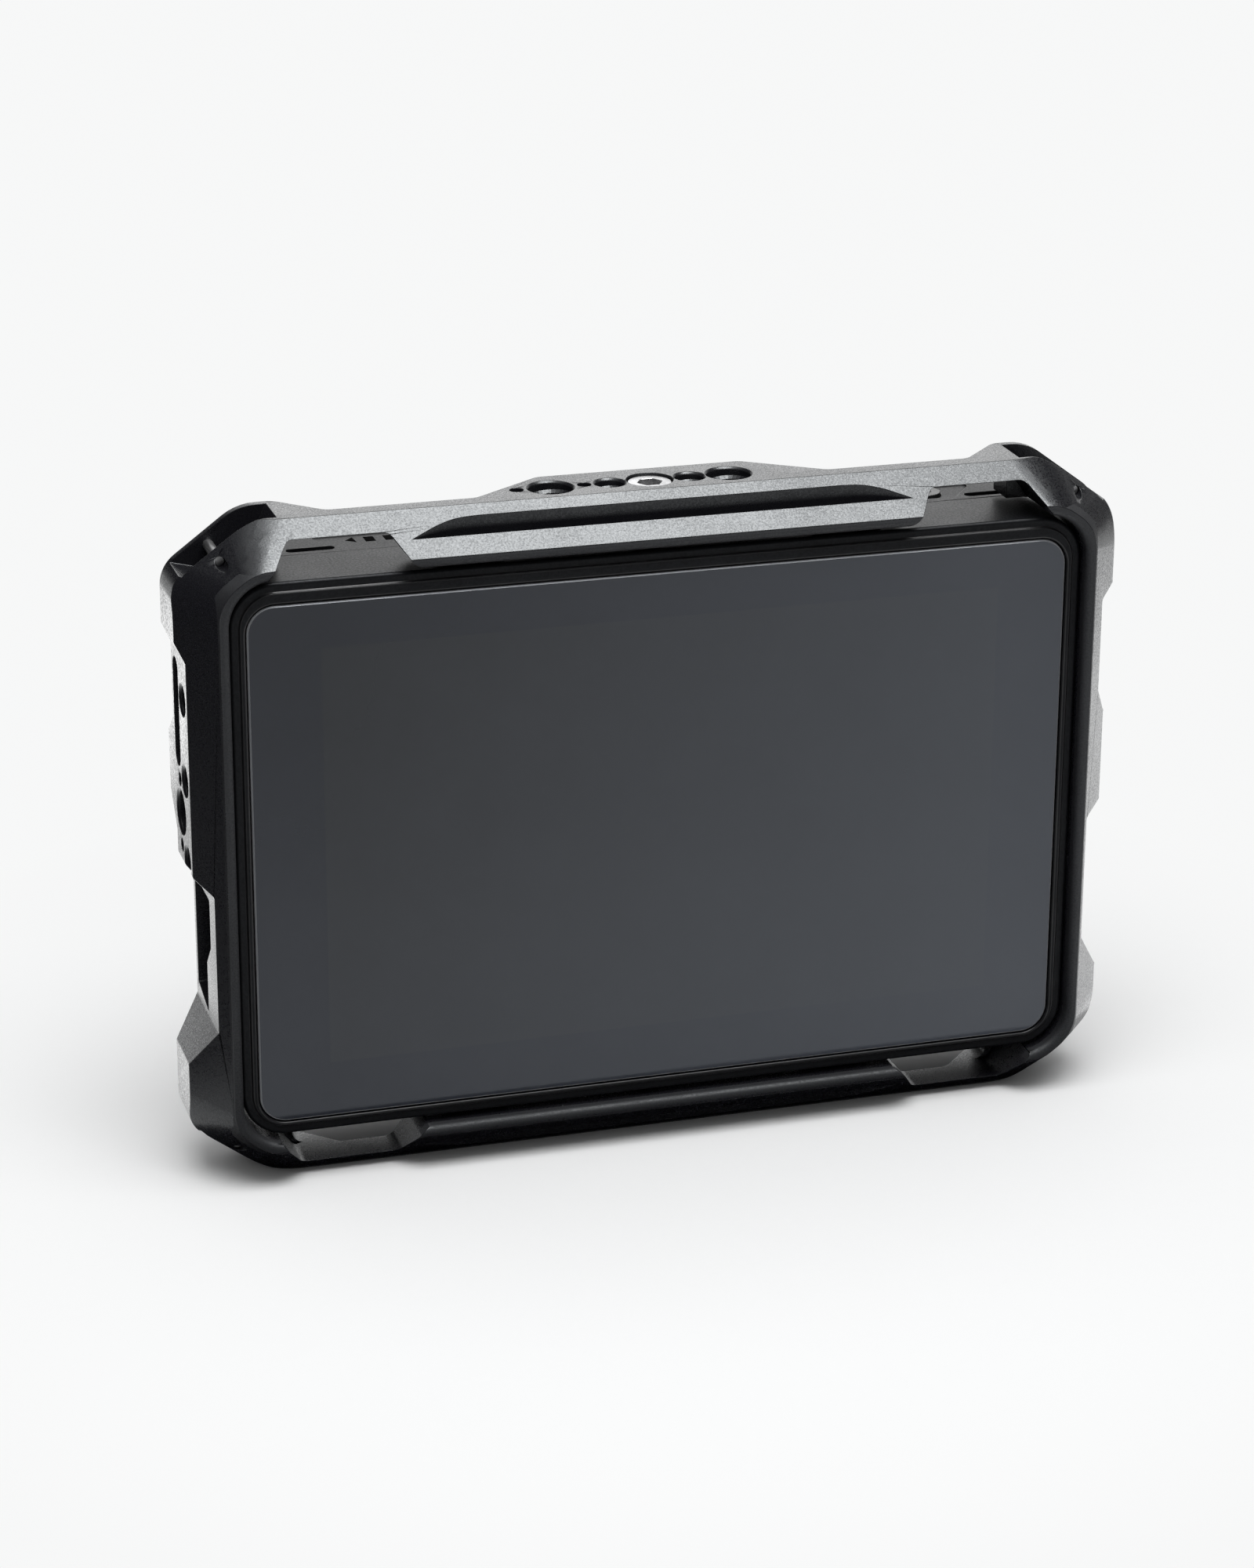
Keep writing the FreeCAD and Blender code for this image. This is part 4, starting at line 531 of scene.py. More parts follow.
@dataclass(frozen=True)
class BoardFinish:
    """Circuit board: solder mask over copper tracks and plated points; its bump is in millimetres."""

    name: str
    mask: Rgb
    track: Rgb
    pad: Rgb = (0.62, 0.42, 0.14)
    track_cells: float = 240.0
    track_line: Point = (0.05, 0.09)
    patch_cells: float = 70.0
    bare: float = 0.47
    pad_cells: float = 330.0
    pad_share: float = 0.25
    pad_size: float = 0.3
    cells: float = 900.0
    rough: Point = (0.28, 0.4)
    bump: float = 0.03
    relief: float = 0.4

    def material(self) -> Material:
        """Build the material, or find it if it was built before.

        Returns:
            The board as a procedural material.
        """
        known = bpy.data.materials.get(self.name)
        if known:
            return known
        material, graph, shader = new_material(self.name, {})
        cells = graph.texture("ShaderNodeTexVoronoi", Scale=self.track_cells, Randomness=0.0)
        cells.distance = "CHEBYCHEV"
        cells.feature = "DISTANCE_TO_EDGE"
        line = graph.remap(cells.outputs["Distance"], *self.track_line, 1.0, 0.0)
        patches = graph.texture("ShaderNodeTexNoise", Scale=self.patch_cells, Detail=0.0)
        routed = graph.math("GREATER_THAN", patches.outputs["Fac"], self.bare)
        color = graph.blend(graph.math("MULTIPLY", line, routed), self.mask, self.track)
        sizes = {"Cells": self.pad_cells, "Share": self.pad_share, "Size": self.pad_size}
        dots = graph.group(Effects.dust(), **sizes)
        color = graph.blend(dots.outputs["Mask"], color, self.pad)
        graph.join(color, shader.inputs["Base Color"])
        graph.join(dots.outputs["Mask"], shader.inputs["Metallic"])
        grain = graph.group(Effects.grain(), Cells=self.cells, Stretch=EVEN)
        gloss = graph.remap(grain.outputs["Height"], *Effects.cloud_range, *self.rough)
        graph.join(gloss, shader.inputs["Roughness"])
        relief = graph.add("ShaderNodeBump", {"Strength": self.relief, "Distance": self.bump * MM})
        graph.join(line, relief.inputs["Height"])
        graph.join(relief.outputs["Normal"], shader.inputs["Normal"])
        return material


@dataclass(frozen=True)
class FloorFinish:
    """Pale studio floor that keeps the object's shadow and turns plain white further out, in metres."""

    name: str = "studio_floor"
    color: Rgb = (0.9, 0.905, 0.907)
    shade: float = 0.99
    cells: float = 600.0
    roughness: float = 0.9
    near: float = 0.105
    far: float = 0.22

    def material(self) -> Material:
        """Build the material.

        Returns:
            The floor as a procedural material.
        """
        even = {"Roughness": self.roughness, "Specular IOR Level": 0.0}
        material, graph, shader = new_material(self.name, even)
        grain = graph.group(Effects.grain(), Cells=self.cells, Stretch=EVEN)
        shaded = tuple(c * self.shade for c in self.color)
        graph.join(graph.blend(grain.outputs["Height"], shaded, self.color), shader.inputs["Base Color"])
        place = graph.add("ShaderNodeTexCoord")
        length = graph.add("ShaderNodeVectorMath", operation="LENGTH")
        graph.join(place.outputs["Object"], length.inputs[0])
        out = graph.remap(length.outputs["Value"], self.near, self.far, 0.0, 1.0)
        white = graph.add("ShaderNodeEmission", {"Color": (*WHITE, 1.0), "Strength": 1.0})
        graph.whiten(graph.math("MULTIPLY", out, graph.seen()), shader, white)
        return material


turned = partial(Finish, metallic=1.0, grain=Grain.TURNED, bump=0.006)
brushed = partial(Finish, metallic=1.0, grain=Grain.BRUSHED)
polished = partial(Finish, grain=Grain.POLISHED)

ANODISED = Finish(
    "black_anodised", (0.0046, 0.0045, 0.0062), (0.009, 0.0088, 0.0114), 0.33, 0.12,
    ior=1.53, grain=Grain.BLASTED, bump=0.03, dust=0.004, tint=(0.95, 0.985, 1.0), cloud=0.1, matt=0.3,
)
ANODISED_EDGE = Finish(
    "black_anodised_edge", (0.008, 0.008, 0.009), (0.016, 0.016, 0.018), 0.3, 0.05,
    ior=1.5, grain=Grain.BRUSHED, bump=0.005, wear=0.32, worn=(0.04, 0.041, 0.043), tint=(0.95, 0.985, 1.0),
)
HOUSING = Finish(
    "housing_plastic", (0.0026, 0.0027, 0.0033), (0.0058, 0.006, 0.007), 0.44, 0.08,
    ior=1.24, grain=Grain.MOULDED, bump=0.024, dust=0.003, tint=(0.93, 0.96, 1.0), cloud=0.1,
)
HOUSING_EDGE = polished(
    "housing_plastic_edge", (0.005, 0.005, 0.0056), (0.01, 0.01, 0.011), 0.34, 0.05, ior=1.4, bump=0.004,
)
KEY_CAP = Finish("key_cap_plastic", (0.006, 0.006, 0.0065), (0.012, 0.012, 0.0125), 0.38, 0.05, bump=0.012)
MARK = Finish("printed_mark", (0.08, 0.08, 0.08), (0.1, 0.1, 0.1), 0.6, 0.05, ior=1.03, bump=0.004)
DARK_MARK = Finish(
    "dark_mark", (0.002, 0.002, 0.002), (0.004, 0.004, 0.004), 0.7, 0.05, ior=1.03, bump=0.004,
)
PIN_STEEL = turned("pin_steel", (0.34, 0.34, 0.345), (0.46, 0.46, 0.465), 0.42, 0.07)
STEEL = turned("screw_steel", (0.5, 0.49, 0.47), (0.62, 0.61, 0.59), 0.27, 0.07)
DARK_STEEL = turned(
    "black_screw_steel", (0.035, 0.035, 0.037), (0.06, 0.06, 0.062), 0.33, 0.06, metallic=0.85,
)
BRASS = turned("bush_brass", (0.5, 0.36, 0.14), (0.62, 0.46, 0.2), 0.32, 0.07)
GOLD = brushed("contact_gold", (0.72, 0.48, 0.16), (0.82, 0.58, 0.22), 0.24, 0.05, bump=0.003)
RUBBER = Finish("pad_rubber", (0.012, 0.012, 0.012), (0.022, 0.022, 0.022), 0.78, 0.06, bump=0.03)
PANEL = polished("panel_film", (0.012, 0.013, 0.014), (0.018, 0.019, 0.02), 0.2, 0.04, bump=0.003)
LIGHT_GUIDE = polished("light_guide", (0.62, 0.63, 0.64), (0.7, 0.71, 0.72), 0.3, 0.06, bump=0.004)
TRAY = brushed("tray_sheet_metal", (0.42, 0.43, 0.44), (0.54, 0.55, 0.56), 0.38, 0.08, bump=0.006)
RIBBON = Finish(
    "ribbon_film", (0.42, 0.2, 0.045), (0.55, 0.28, 0.07), 0.4, 0.06, grain=Grain.BRUSHED, bump=0.01,
)
CHIP = Finish("chip_resin", (0.012, 0.012, 0.013), (0.022, 0.022, 0.024), 0.5, 0.06, bump=0.012)
SINK = brushed("sink_aluminium", (0.5, 0.51, 0.52), (0.62, 0.63, 0.64), 0.36, 0.08, bump=0.008)
FAN_PLASTIC = Finish("fan_plastic", (0.01, 0.01, 0.011), (0.02, 0.02, 0.021), 0.44, 0.06, bump=0.014)
COIL = brushed("coil_copper", (0.4, 0.15, 0.05), (0.56, 0.24, 0.09), 0.34, 0.07)
SOCKET_METAL = brushed("socket_tin", (0.44, 0.44, 0.45), (0.58, 0.58, 0.59), 0.3, 0.07, bump=0.005)
SOCKET_PLASTIC = Finish(
    "socket_plastic", (0.008, 0.008, 0.009), (0.016, 0.016, 0.017), 0.42, 0.06, bump=0.01,
)
LATCH = Finish("latch_plastic", (0.012, 0.012, 0.013), (0.022, 0.022, 0.023), 0.42, 0.06, bump=0.014)
BOARD = BoardFinish("board_mask", (0.006, 0.028, 0.016), (0.012, 0.055, 0.03))


def paint(node: str, material: Material) -> Object:
    """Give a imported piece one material.

    Args:
        node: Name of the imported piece.
        material: The material.

    Returns:
        The piece.
    """
    piece = frame["nodes"][node]
    piece.data.materials.clear()
    piece.data.materials.append(material)
    return piece


def dress(
    node: str,
    finish: Finish,
    width: Edge | None = None,
    edge: Finish | None = None,
    merge: bool = True,
) -> Object:
    """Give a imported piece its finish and, where a width is set, its softened edges.

    Args:
        node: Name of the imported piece.
        finish: Finish of its faces.
        width: Width of the softened edges, or None for sharp ones.
        edge: Finish of the softened edges, or None for the same one.
        merge: Whether flat faces are merged before; not where holes lie close together.

    Returns:
        The piece.
    """
    piece = paint(node, finish.material())
    if width is None:
        return piece
    piece.data.materials.append((edge or finish).material())
    weld = piece.modifiers.new("weld", "WELD")
    weld.merge_threshold = SAME_POINT
    if merge:
        flat = piece.modifiers.new("flat", "DECIMATE")
        flat.decimate_type = "DISSOLVE"
        flat.angle_limit = math.radians(FLAT_ANGLE)
    soft = piece.modifiers.new("edge", "BEVEL")
    soft.width = width.value * MM
    soft.segments = 2
    soft.limit_method = "ANGLE"
    soft.angle_limit = math.radians(SOFT_ANGLE)
    soft.use_clamp_overlap = False
    soft.material = 1
    shade = piece.modifiers.new("shade", "WEIGHTED_NORMAL")
    shade.weight = FACE_WEIGHT
    return piece


def add_piece(name: str, mesh: BMesh, finish: Finish, body: str) -> Object:
    """Turn a mesh into a piece that rides on a body.

    Args:
        name: Name of the piece.
        mesh: Its mesh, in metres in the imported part's frame; it is freed.
        finish: Its finish.
        body: Body that it moves with.

    Returns:
        The piece.
    """
    bmesh.ops.recalc_face_normals(mesh, faces=mesh.faces)
    data = bpy.data.meshes.new(name)
    mesh.to_mesh(data)
    mesh.free()
    data.materials.append(finish.material())
    piece = bpy.data.objects.new(name, data)
    bpy.context.scene.collection.objects.link(piece)
    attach(piece, body)
    return piece


def islands(node: str) -> list[tuple[Vector, Vector]]:
    """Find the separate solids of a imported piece.

    Args:
        node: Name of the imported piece.

    Returns:
        Lowest and highest corner of each solid, from left to right and up.
    """
    mesh = bmesh.new()
    mesh.from_mesh(frame["nodes"][node].data)
    bmesh.ops.remove_doubles(mesh, verts=mesh.verts, dist=SAME_POINT)
    left = set(mesh.verts)
    found = []
    while left:
        open_verts = [left.pop()]
        points = []
        while open_verts:
            vert = open_verts.pop()
            points.append(vert.co.copy())
            for other in (e.other_vert(vert) for e in vert.link_edges):
                if other in left:
                    left.remove(other)
                    open_verts.append(other)
        low = Vector(min(p[i] for p in points) for i in range(3))
        high = Vector(max(p[i] for p in points) for i in range(3))
        found.append((low, high))
    mesh.free()
    return sorted(found, key=lambda box: tuple(round(c, 5) for c in box[0]))


def facing(place: Vector, axis: Vector) -> Matrix:
    """Placement that takes a mesh's origin to a place and turns its Z to an axis."""
    return Matrix.Translation(place) @ axis.to_track_quat("Z", "Y").to_matrix().to_4x4()


def gather(parts: list[BMesh]) -> BMesh:
    """Join meshes into one.

    Args:
        parts: The meshes; each is freed.

    Returns:
        The joined mesh.
    """
    whole = bmesh.new()
    for part in parts:
        data = bpy.data.meshes.new("part")
        part.to_mesh(data)
        part.free()
        whole.from_mesh(data)
        bpy.data.meshes.remove(data)
    return whole


def spoke(mesh: BMesh, section: list[Point], angle: float) -> list[BMVert]:
    """Put points into a mesh at an angle around Z, from their radii and heights in millimetres."""
    x, y = math.cos(angle) * MM, math.sin(angle) * MM
    return [mesh.verts.new((r * x, r * y, h * MM)) for r, h in section]


def skin(mesh: BMesh, rows: list[list[BMVert]], smooth: bool = False) -> None:
    """Span faces between closed rows of points, each row with the next.

    Args:
        mesh: Mesh that holds the points.
        rows: Points of each row, in order.
        smooth: Whether the faces are shaded smooth.
    """
    for first, second in zip(rows, rows[1:]):
        for i in range(len(first)):
            j = (i + 1) % len(first)
            mesh.faces.new((first[i], first[j], second[j], second[i])).smooth = smooth


def polar_loft(rings: list[tuple[float, Outline]], steps: int) -> BMesh:
    """Closed solid through rings around Z, each with an outline of its own.

    Args:
        rings: Height and outline of each ring, in order; an outline gives a radius for an angle.
        steps: Points in a ring.

    Returns:
        The solid, in the rings' units.
    """
    mesh = bmesh.new()
    loops = []
    for height, outline in rings:
        loop = []
        for i in range(steps):
            angle = 2 * math.pi * i / steps
            r = outline(angle)
            loop.append(mesh.verts.new((r * math.cos(angle), r * math.sin(angle), height)))
        loops.append(loop)
    skin(mesh, loops)
    for loop, (height, _) in ((loops[0], rings[0]), (loops[-1], rings[-1])):
        middle = mesh.verts.new((0.0, 0.0, height))
        for i in range(steps):
            mesh.faces.new((loop[i], loop[(i + 1) % steps], middle))
    return mesh


def circle(radius: float) -> Outline:
    """Outline of a round ring."""
    return lambda angle: radius


def cross(reach: float, half: float) -> Outline:
    """Outline of a cross with arms of a given reach and half width.

    Args:
        reach: Length of an arm from the middle.
        half: Half of an arm's width.

    Returns:
        The outline.
    """

    def radius(angle: float) -> float:
        """Distance from the middle to the cross's outline."""
        c = max(abs(math.cos(angle)), TINY)
        s = max(abs(math.sin(angle)), TINY)
        return max(min(reach / c, half / s), min(half / c, reach / s))

    return radius


def flat_shape(points: list[Point], thick: float) -> BMesh:
    """Thin plate with the outline of a mark.

    Args:
        points: Corners of the outline.
        thick: Thickness above Z = 0.

    Returns:
        The plate, in the points' units.
    """
    mesh = bmesh.new()
    face = mesh.faces.new([mesh.verts.new((x, y, 0.0)) for x, y in points])
    grown = bmesh.ops.extrude_face_region(mesh, geom=[face])
    top = [v for v in grown["geom"] if isinstance(v, BMVert)]
    bmesh.ops.translate(mesh, verts=top, vec=(0.0, 0.0, thick))
    return mesh


def arc_band(inner: float, outer: float, start: float, end: float, steps: int = 40) -> list[Point]:
    """Corners of a band along an arc.

    Args:
        inner: Inner radius.
        outer: Outer radius.
        start: First angle, in degrees.
        end: Last angle, in degrees.
        steps: Parts of the arc.

    Returns:
        The corners, in order.
    """
    angles = [math.radians(start + (end - start) * i / steps) for i in range(steps + 1)]
    out = [(outer * math.cos(a), outer * math.sin(a)) for a in angles]
    back = [(inner * math.cos(a), inner * math.sin(a)) for a in reversed(angles)]
    return out + back


def soft_blocks(blocks: list[tuple[Vector, Vector]], soft: float) -> BMesh:
    """Blocks with bevelled edges, in one mesh.

    Args:
        blocks: Lowest and highest corner of each block, in metres.
        soft: Width of the bevels, in metres.

    Returns:
        The mesh.
    """
    mesh = bmesh.new()
    for low, high in blocks:
        size = Matrix.Diagonal((*(high - low), 1.0))
        bmesh.ops.create_cube(mesh, size=1.0, matrix=Matrix.Translation((low + high) / 2) @ size)
    bmesh.ops.bevel(mesh, geom=mesh.edges[:], offset=soft, segments=2, affect="EDGES", profile=0.5)
    return mesh


@dataclass(frozen=True)
class Screw:
    """Screw with a cross recess, its axis along Z and its head's top at Z = 0.

    Sizes are in millimetres; crown, arm, taper and point are shares.
    """

    head_r: float
    head_t: float
    shank_r: float
    length: float
    key: float
    deep: float
    sunk: bool = False
    soft: float = 0.18
    crown: float = 0.3
    arm: float = 0.125
    taper: float = 0.55
    lead: float = 0.1
    flare: float = 0.08
    ledge: float = 0.01
    tip: float = 0.3
    point: float = 0.8
    steps: int = 72

    def mesh(self) -> BMesh:
        """Build the screw.

        Returns:
            Its mesh, in metres.
        """
        recess = cross(self.key / 2, self.arm * self.key)
        under = self.shank_r if self.sunk else self.head_r
        rings = [
            (-self.deep, lambda a: self.taper * recess(a)),
            (-self.lead, recess),
            (0.0, lambda a: recess(a) + self.flare),
            (0.0, circle(self.head_r - self.soft)),
            (-self.crown * self.soft, circle(self.head_r - self.crown * self.soft)),
            (-self.soft, circle(self.head_r)),
            (-self.head_t, circle(under)),
            (-self.head_t - self.ledge, circle(self.shank_r)),
            (self.tip - self.length, circle(self.shank_r)),
            (-self.length, circle(self.point * self.shank_r)),
        ]
        mesh = polar_loft(rings, self.steps)
        bmesh.ops.scale(mesh, verts=mesh.verts, vec=(MM, MM, MM))
        return mesh


@dataclass(frozen=True)
class Thread:
    """Inner thread: a ridge that winds down a hole, in millimetres; lead, flank and flat are in pitches."""

    major: float
    minor: float
    pitch: float
    steps: int = 30
    lead: float = 0.6
    flank: float = 0.46
    flat: float = 0.08
    bite: float = 0.03
    least: float = 0.03

    def mesh(self, length: float) -> BMesh:
        """Build the ridge for a hole that starts at Z = 0 and goes down.

        Args:
            length: Depth of the hole.

        Returns:
            The ridge, in metres.
        """
        mesh = bmesh.new()
        turns = length / self.pitch - 2 * self.lead
        count = int(turns * self.steps)
        rows = []
        for i in range(count + 1):
            fade = min(1.0, 2.0 * i / self.steps, 2.0 * (count - i) / self.steps)
            crest = self.major - (self.major - self.minor) * max(fade, self.least)
            root = self.major + self.bite
            z = -self.lead * self.pitch - self.pitch * i / self.steps
            section = [
                (root, z + self.flank * self.pitch),
                (crest, z + self.flat * self.pitch),
                (crest, z - self.flat * self.pitch),
                (root, z - self.flank * self.pitch),
            ]
            rows.append(spoke(mesh, section, 2 * math.pi * i / self.steps))
        skin(mesh, rows)
        mesh.faces.new(rows[0])
        mesh.faces.new(rows[-1])
        return mesh


SMALL_THREAD = Thread(3.175, 2.6, 1.27)
LARGE_THREAD = Thread(4.7625, 4.0, 1.5875)


def set_screws(node: str, screw: Screw, first: float = 0.4, step: float = 0.9) -> Object:
    """Put a driven screw in the place of each packed one on the part's back.

    Args:
        node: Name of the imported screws.
        screw: The screw's sizes.
        first: Turn of the first screw about its axis.
        step: Further turn of each next screw.

    Returns:
        The screws as one piece.
    """
    singles = []
    for number, (low, high) in enumerate(islands(node)):
        place = (low + high) / 2
        place.y = high.y
        single = screw.mesh()
        turn = Matrix.Rotation(first + step * number, 4, "Z")
        single.transform(facing(place, Vector((0, 1, 0))) @ turn)
        singles.append(single)
    piece = add_piece(node + "_driven", gather(singles), DARK_STEEL, BODY)
    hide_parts(node)
    return piece


@dataclass
class Assembly:
    """Pieces that are built together."""

    pieces: list[Object] = field(default_factory=list)

    def make(self) -> None:
        """Make the pieces, each kind of sub-assembly in its own way."""
        raise NotImplementedError

    def build(self) -> list[Object]:
        """Make the pieces and hand them over."""
        self.make()
        return self.pieces

    def dress_all(self, *rows: tuple) -> None:
        """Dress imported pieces; each row holds what dress takes."""
        self.pieces += [dress(*row) for row in rows]


@dataclass
class Cage(Assembly):
    """Machined cage: its frame, threads, fixing screws, strap pins and pads; sizes in millimetres."""

    least_r: float = 3.0
    large_r: float = 4.0
    reach: float = 12.0
    slack: float = 0.02

    def holes(self) -> list[tuple[str, Vector, Vector, Thread]]:
        """Find the threaded holes that the record states.

        Returns:
            Name, place on the axis, direction out and thread of each hole.
        """
        found = []
        for mount in frame["record"]["mounts"]:
            sizes = mount["dims"]
            r = sizes.get("hole_r_mm", sizes.get("r_mm", 0.0))
            if mount["kind"] not in ("bolt_pattern", "threaded_hole") or r < self.least_r:
                continue
            thread = SMALL_THREAD if r < self.large_r else LARGE_THREAD
            axis = Vector(mount["axis"])
            along = Vector((0, 0, 1)) if abs(axis.x) > 0.5 else Vector((1, 0, 0))
            pitch = sizes.get("spacing_x_mm", sizes.get("spacing_y_mm", 0.0)) * MM
            shifts = (-pitch / 2, pitch / 2) if pitch else (0.0,)
            for number, shift in enumerate(shifts, 1):
                name = mount["name"].removesuffix("s") + (f"_{number}" if pitch else "")
                found.append((name, Vector(mount["pos_m"]) + along * shift, axis, thread))
        return found

    def span(self, place: Vector, axis: Vector, r: float) -> tuple[float, float]:
        """Measure how far a hole's wall runs along its axis.

        Args:
            place: Point on the axis.
            axis: Direction out of the hole.
            r: The hole's radius, in metres.

        Returns:
            Distances from the point to the hole's inner and outer end.
        """
        ends = []
        for vert in frame["nodes"]["cage_frame"].data.vertices:
            off = vert.co - place
            along = off.dot(axis)
            aside = (off - axis * along).length
            if abs(along) < self.reach * MM and abs(aside - r) < self.slack * MM:
                ends.append(along)
        return min(ends), max(ends)

    def make(self) -> None:
        """Dress the cage and cut its threads."""
        self.pieces.append(dress("cage_frame", ANODISED, Edge.MACHINED, ANODISED_EDGE, merge=False))
        self.dress_all(
            ("strap_pins", PIN_STEEL, Edge.PIN), ("cage_screws", PIN_STEEL, Edge.BROAD),
            ("mount_bushes", BRASS, Edge.THIN), ("cage_pads", RUBBER, Edge.BROAD),
        )
        for name, place, axis, thread in self.holes():
            low, high = self.span(place, axis, thread.major * MM)
            ridge = thread.mesh((high - low) / MM)
            ridge.transform(facing(place + axis * high, axis))
            self.pieces.append(add_piece(name, ridge, ANODISED, BODY))


@dataclass
class Housing(Assembly):
    """Front bezel and rear shell, with their screws."""

    screw: Screw = Screw(2.68, 1.48, 1.48, 21.4, 2.9, 1.0)

    def make(self) -> None:
        """Dress the housing and set its screws."""
        self.pieces.append(dress("front_bezel", HOUSING, Edge.MOULDED, HOUSING_EDGE, merge=False))
        self.pieces.append(dress("rear_shell", HOUSING, Edge.MOULDED, HOUSING_EDGE))
        self.pieces.append(set_screws("shell_screws", self.screw))


@dataclass
class Screen(Assembly):
    """Cover glass and the display stack behind it; the border is in millimetres."""

    border: float = 4.9
    glass: GlassFinish = GlassFinish()

    def make(self) -> None:
        """Dress the glass, the panel and what lights it."""
        low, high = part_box("lcd_panel")
        inset = Vector((self.border, 0.0, self.border)) * MM
        self.pieces.append(paint("cover_glass", self.glass.material(low + inset, high - inset)))
        self.dress_all(
            ("glass_seal", RUBBER), ("lcd_panel", PANEL), ("backlight", LIGHT_GUIDE),
            ("panel_tray", TRAY), ("panel_ribbon", RIBBON), ("tray_screws", STEEL),
        )


@dataclass
class Electronics(Assembly):
    """Main board with its chips and small parts; sizes in millimetres."""

    rows: int = 5
    columns: int = 9
    part: Spot = (2.0, 0.9, 1.2)
    corner: Point = (22.0, 16.0)
    pitch: Point = (6.2, 10.5)
    stagger: float = 1.6
    soft: float = 0.15

    def small_parts(self) -> Object:
        """Rows of small parts on the left half of the board's back.

        Returns:
            The parts as one piece.
        """
        low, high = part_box("main_board")
        size = Vector(self.part) * MM
        blocks = []
        for row in range(self.rows):
            for column in range(self.columns):
                # About one place in four stays empty
                if (row * 3 + column * 5) % 4 == 0:
                    continue
                x = low.x + (self.corner[0] + self.pitch[0] * column) * MM
                z = low.z + (self.corner[1] + self.pitch[1] * row + self.stagger * (column % 2)) * MM
                start = Vector((x - size.x / 2, high.y, z - size.z / 2))
                blocks.append((start, start + size))
        return add_piece("board_small_parts", soft_blocks(blocks, self.soft * MM), CHIP, BODY)

    def make(self) -> None:
        """Dress the board and set its small parts."""
        self.pieces += [paint(node, BOARD.material()) for node in ("main_board", "key_board")]
        self.dress_all(
            ("board_standoffs", BRASS), ("board_screws", STEEL), ("processor", CHIP),
            ("memory_chips", CHIP), ("key_board_screws", STEEL), ("key_switches", SOCKET_PLASTIC),
        )
        self.pieces.append(self.small_parts())


@dataclass
class Cooling(Assembly):
    """Heat sink and fan."""

    screw: Screw = Screw(2.58, 1.2, 1.38, 5.3, 2.8, 0.9, sunk=True, soft=0.1)

    def make(self) -> None:
        """Dress the fan and the sink, and set the fan's screws."""
        self.dress_all(
            ("heat_sink", SINK, Edge.THIN), ("fan_frame", FAN_PLASTIC, Edge.MOULDED),
            ("fan_rotor", FAN_PLASTIC, Edge.FINE), ("fan_stator", COIL),
        )
        self.pieces.append(set_screws("fan_screws", self.screw))


@dataclass
class Sockets(Assembly):
    """Video, sound and power sockets in the housing's sides; sizes in millimetres."""

    contacts: int = 10
    pitch: float = 1.0
    contact: Spot = (7.5, 0.12, 0.45)
    sunk: float = 1.4
    tongue_half: float = 0.61
    soft: float = 0.03
    ring_steps: int = 48
    ring: tuple[Point, ...] = (
        (-0.05, -2.0), (-0.05, 0.0), (0.12, 0.16), (0.5, 0.16), (0.62, 0.0), (0.5, -0.4),
    )

    def contact_strips(self, node: str, side: int) -> Object:
        """Gold strips on both faces of a video socket's tongue.

        Args:
            node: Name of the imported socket.
            side: 1 on the right side of the housing, -1 on the left.

        Returns:
            The strips as one piece.
        """
        low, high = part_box(node)
        size = Vector(self.contact) * MM
        middle = (low + high) / 2
        middle.x = (high.x if side > 0 else low.x) - side * (self.sunk * MM + size.x / 2)
        blocks = []
        for face in (-1, 1):
            for i in range(self.contacts):
                along = (i - (self.contacts - 1) / 2) * self.pitch
                place = middle + Vector((0.0, face * self.tongue_half, along)) * MM
                blocks.append((place - size / 2, place + size / 2))
        return add_piece(node + "_contacts", soft_blocks(blocks, self.soft * MM), GOLD, BODY)

    def jack_ring(self) -> Object:
        """Metal ring round the sound socket's mouth.

        Returns:
            The ring.
        """
        mount = next(m for m in frame["record"]["mounts"] if m["name"] == "headphone_socket")
        section = [(mount["dims"]["r_mm"] + out, height) for out, height in self.ring]
        mesh = bmesh.new()
        angles = [2 * math.pi * i / self.ring_steps for i in range(self.ring_steps)]
        rows = [spoke(mesh, section, angle) for angle in angles]
        skin(mesh, rows + rows[:1])
        place = Vector(mount["pos_m"])
        place.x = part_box("headphone_jack")[0].x
        mesh.transform(facing(place, Vector((-1, 0, 0))))
        return add_piece("headphone_ring", mesh, SOCKET_METAL, BODY)

    def make(self) -> None:
        """Dress the sockets and add their contacts."""
        self.dress_all(
            ("video_input", SOCKET_METAL, Edge.FINE), ("video_output", SOCKET_METAL, Edge.FINE),
            ("headphone_jack", SOCKET_PLASTIC, Edge.MOULDED), ("dc_inlet", SOCKET_PLASTIC, Edge.THIN),
        )
        self.pieces.append(self.contact_strips("video_input", -1))
        self.pieces.append(self.contact_strips("video_output", 1))
        self.pieces.append(self.jack_ring())


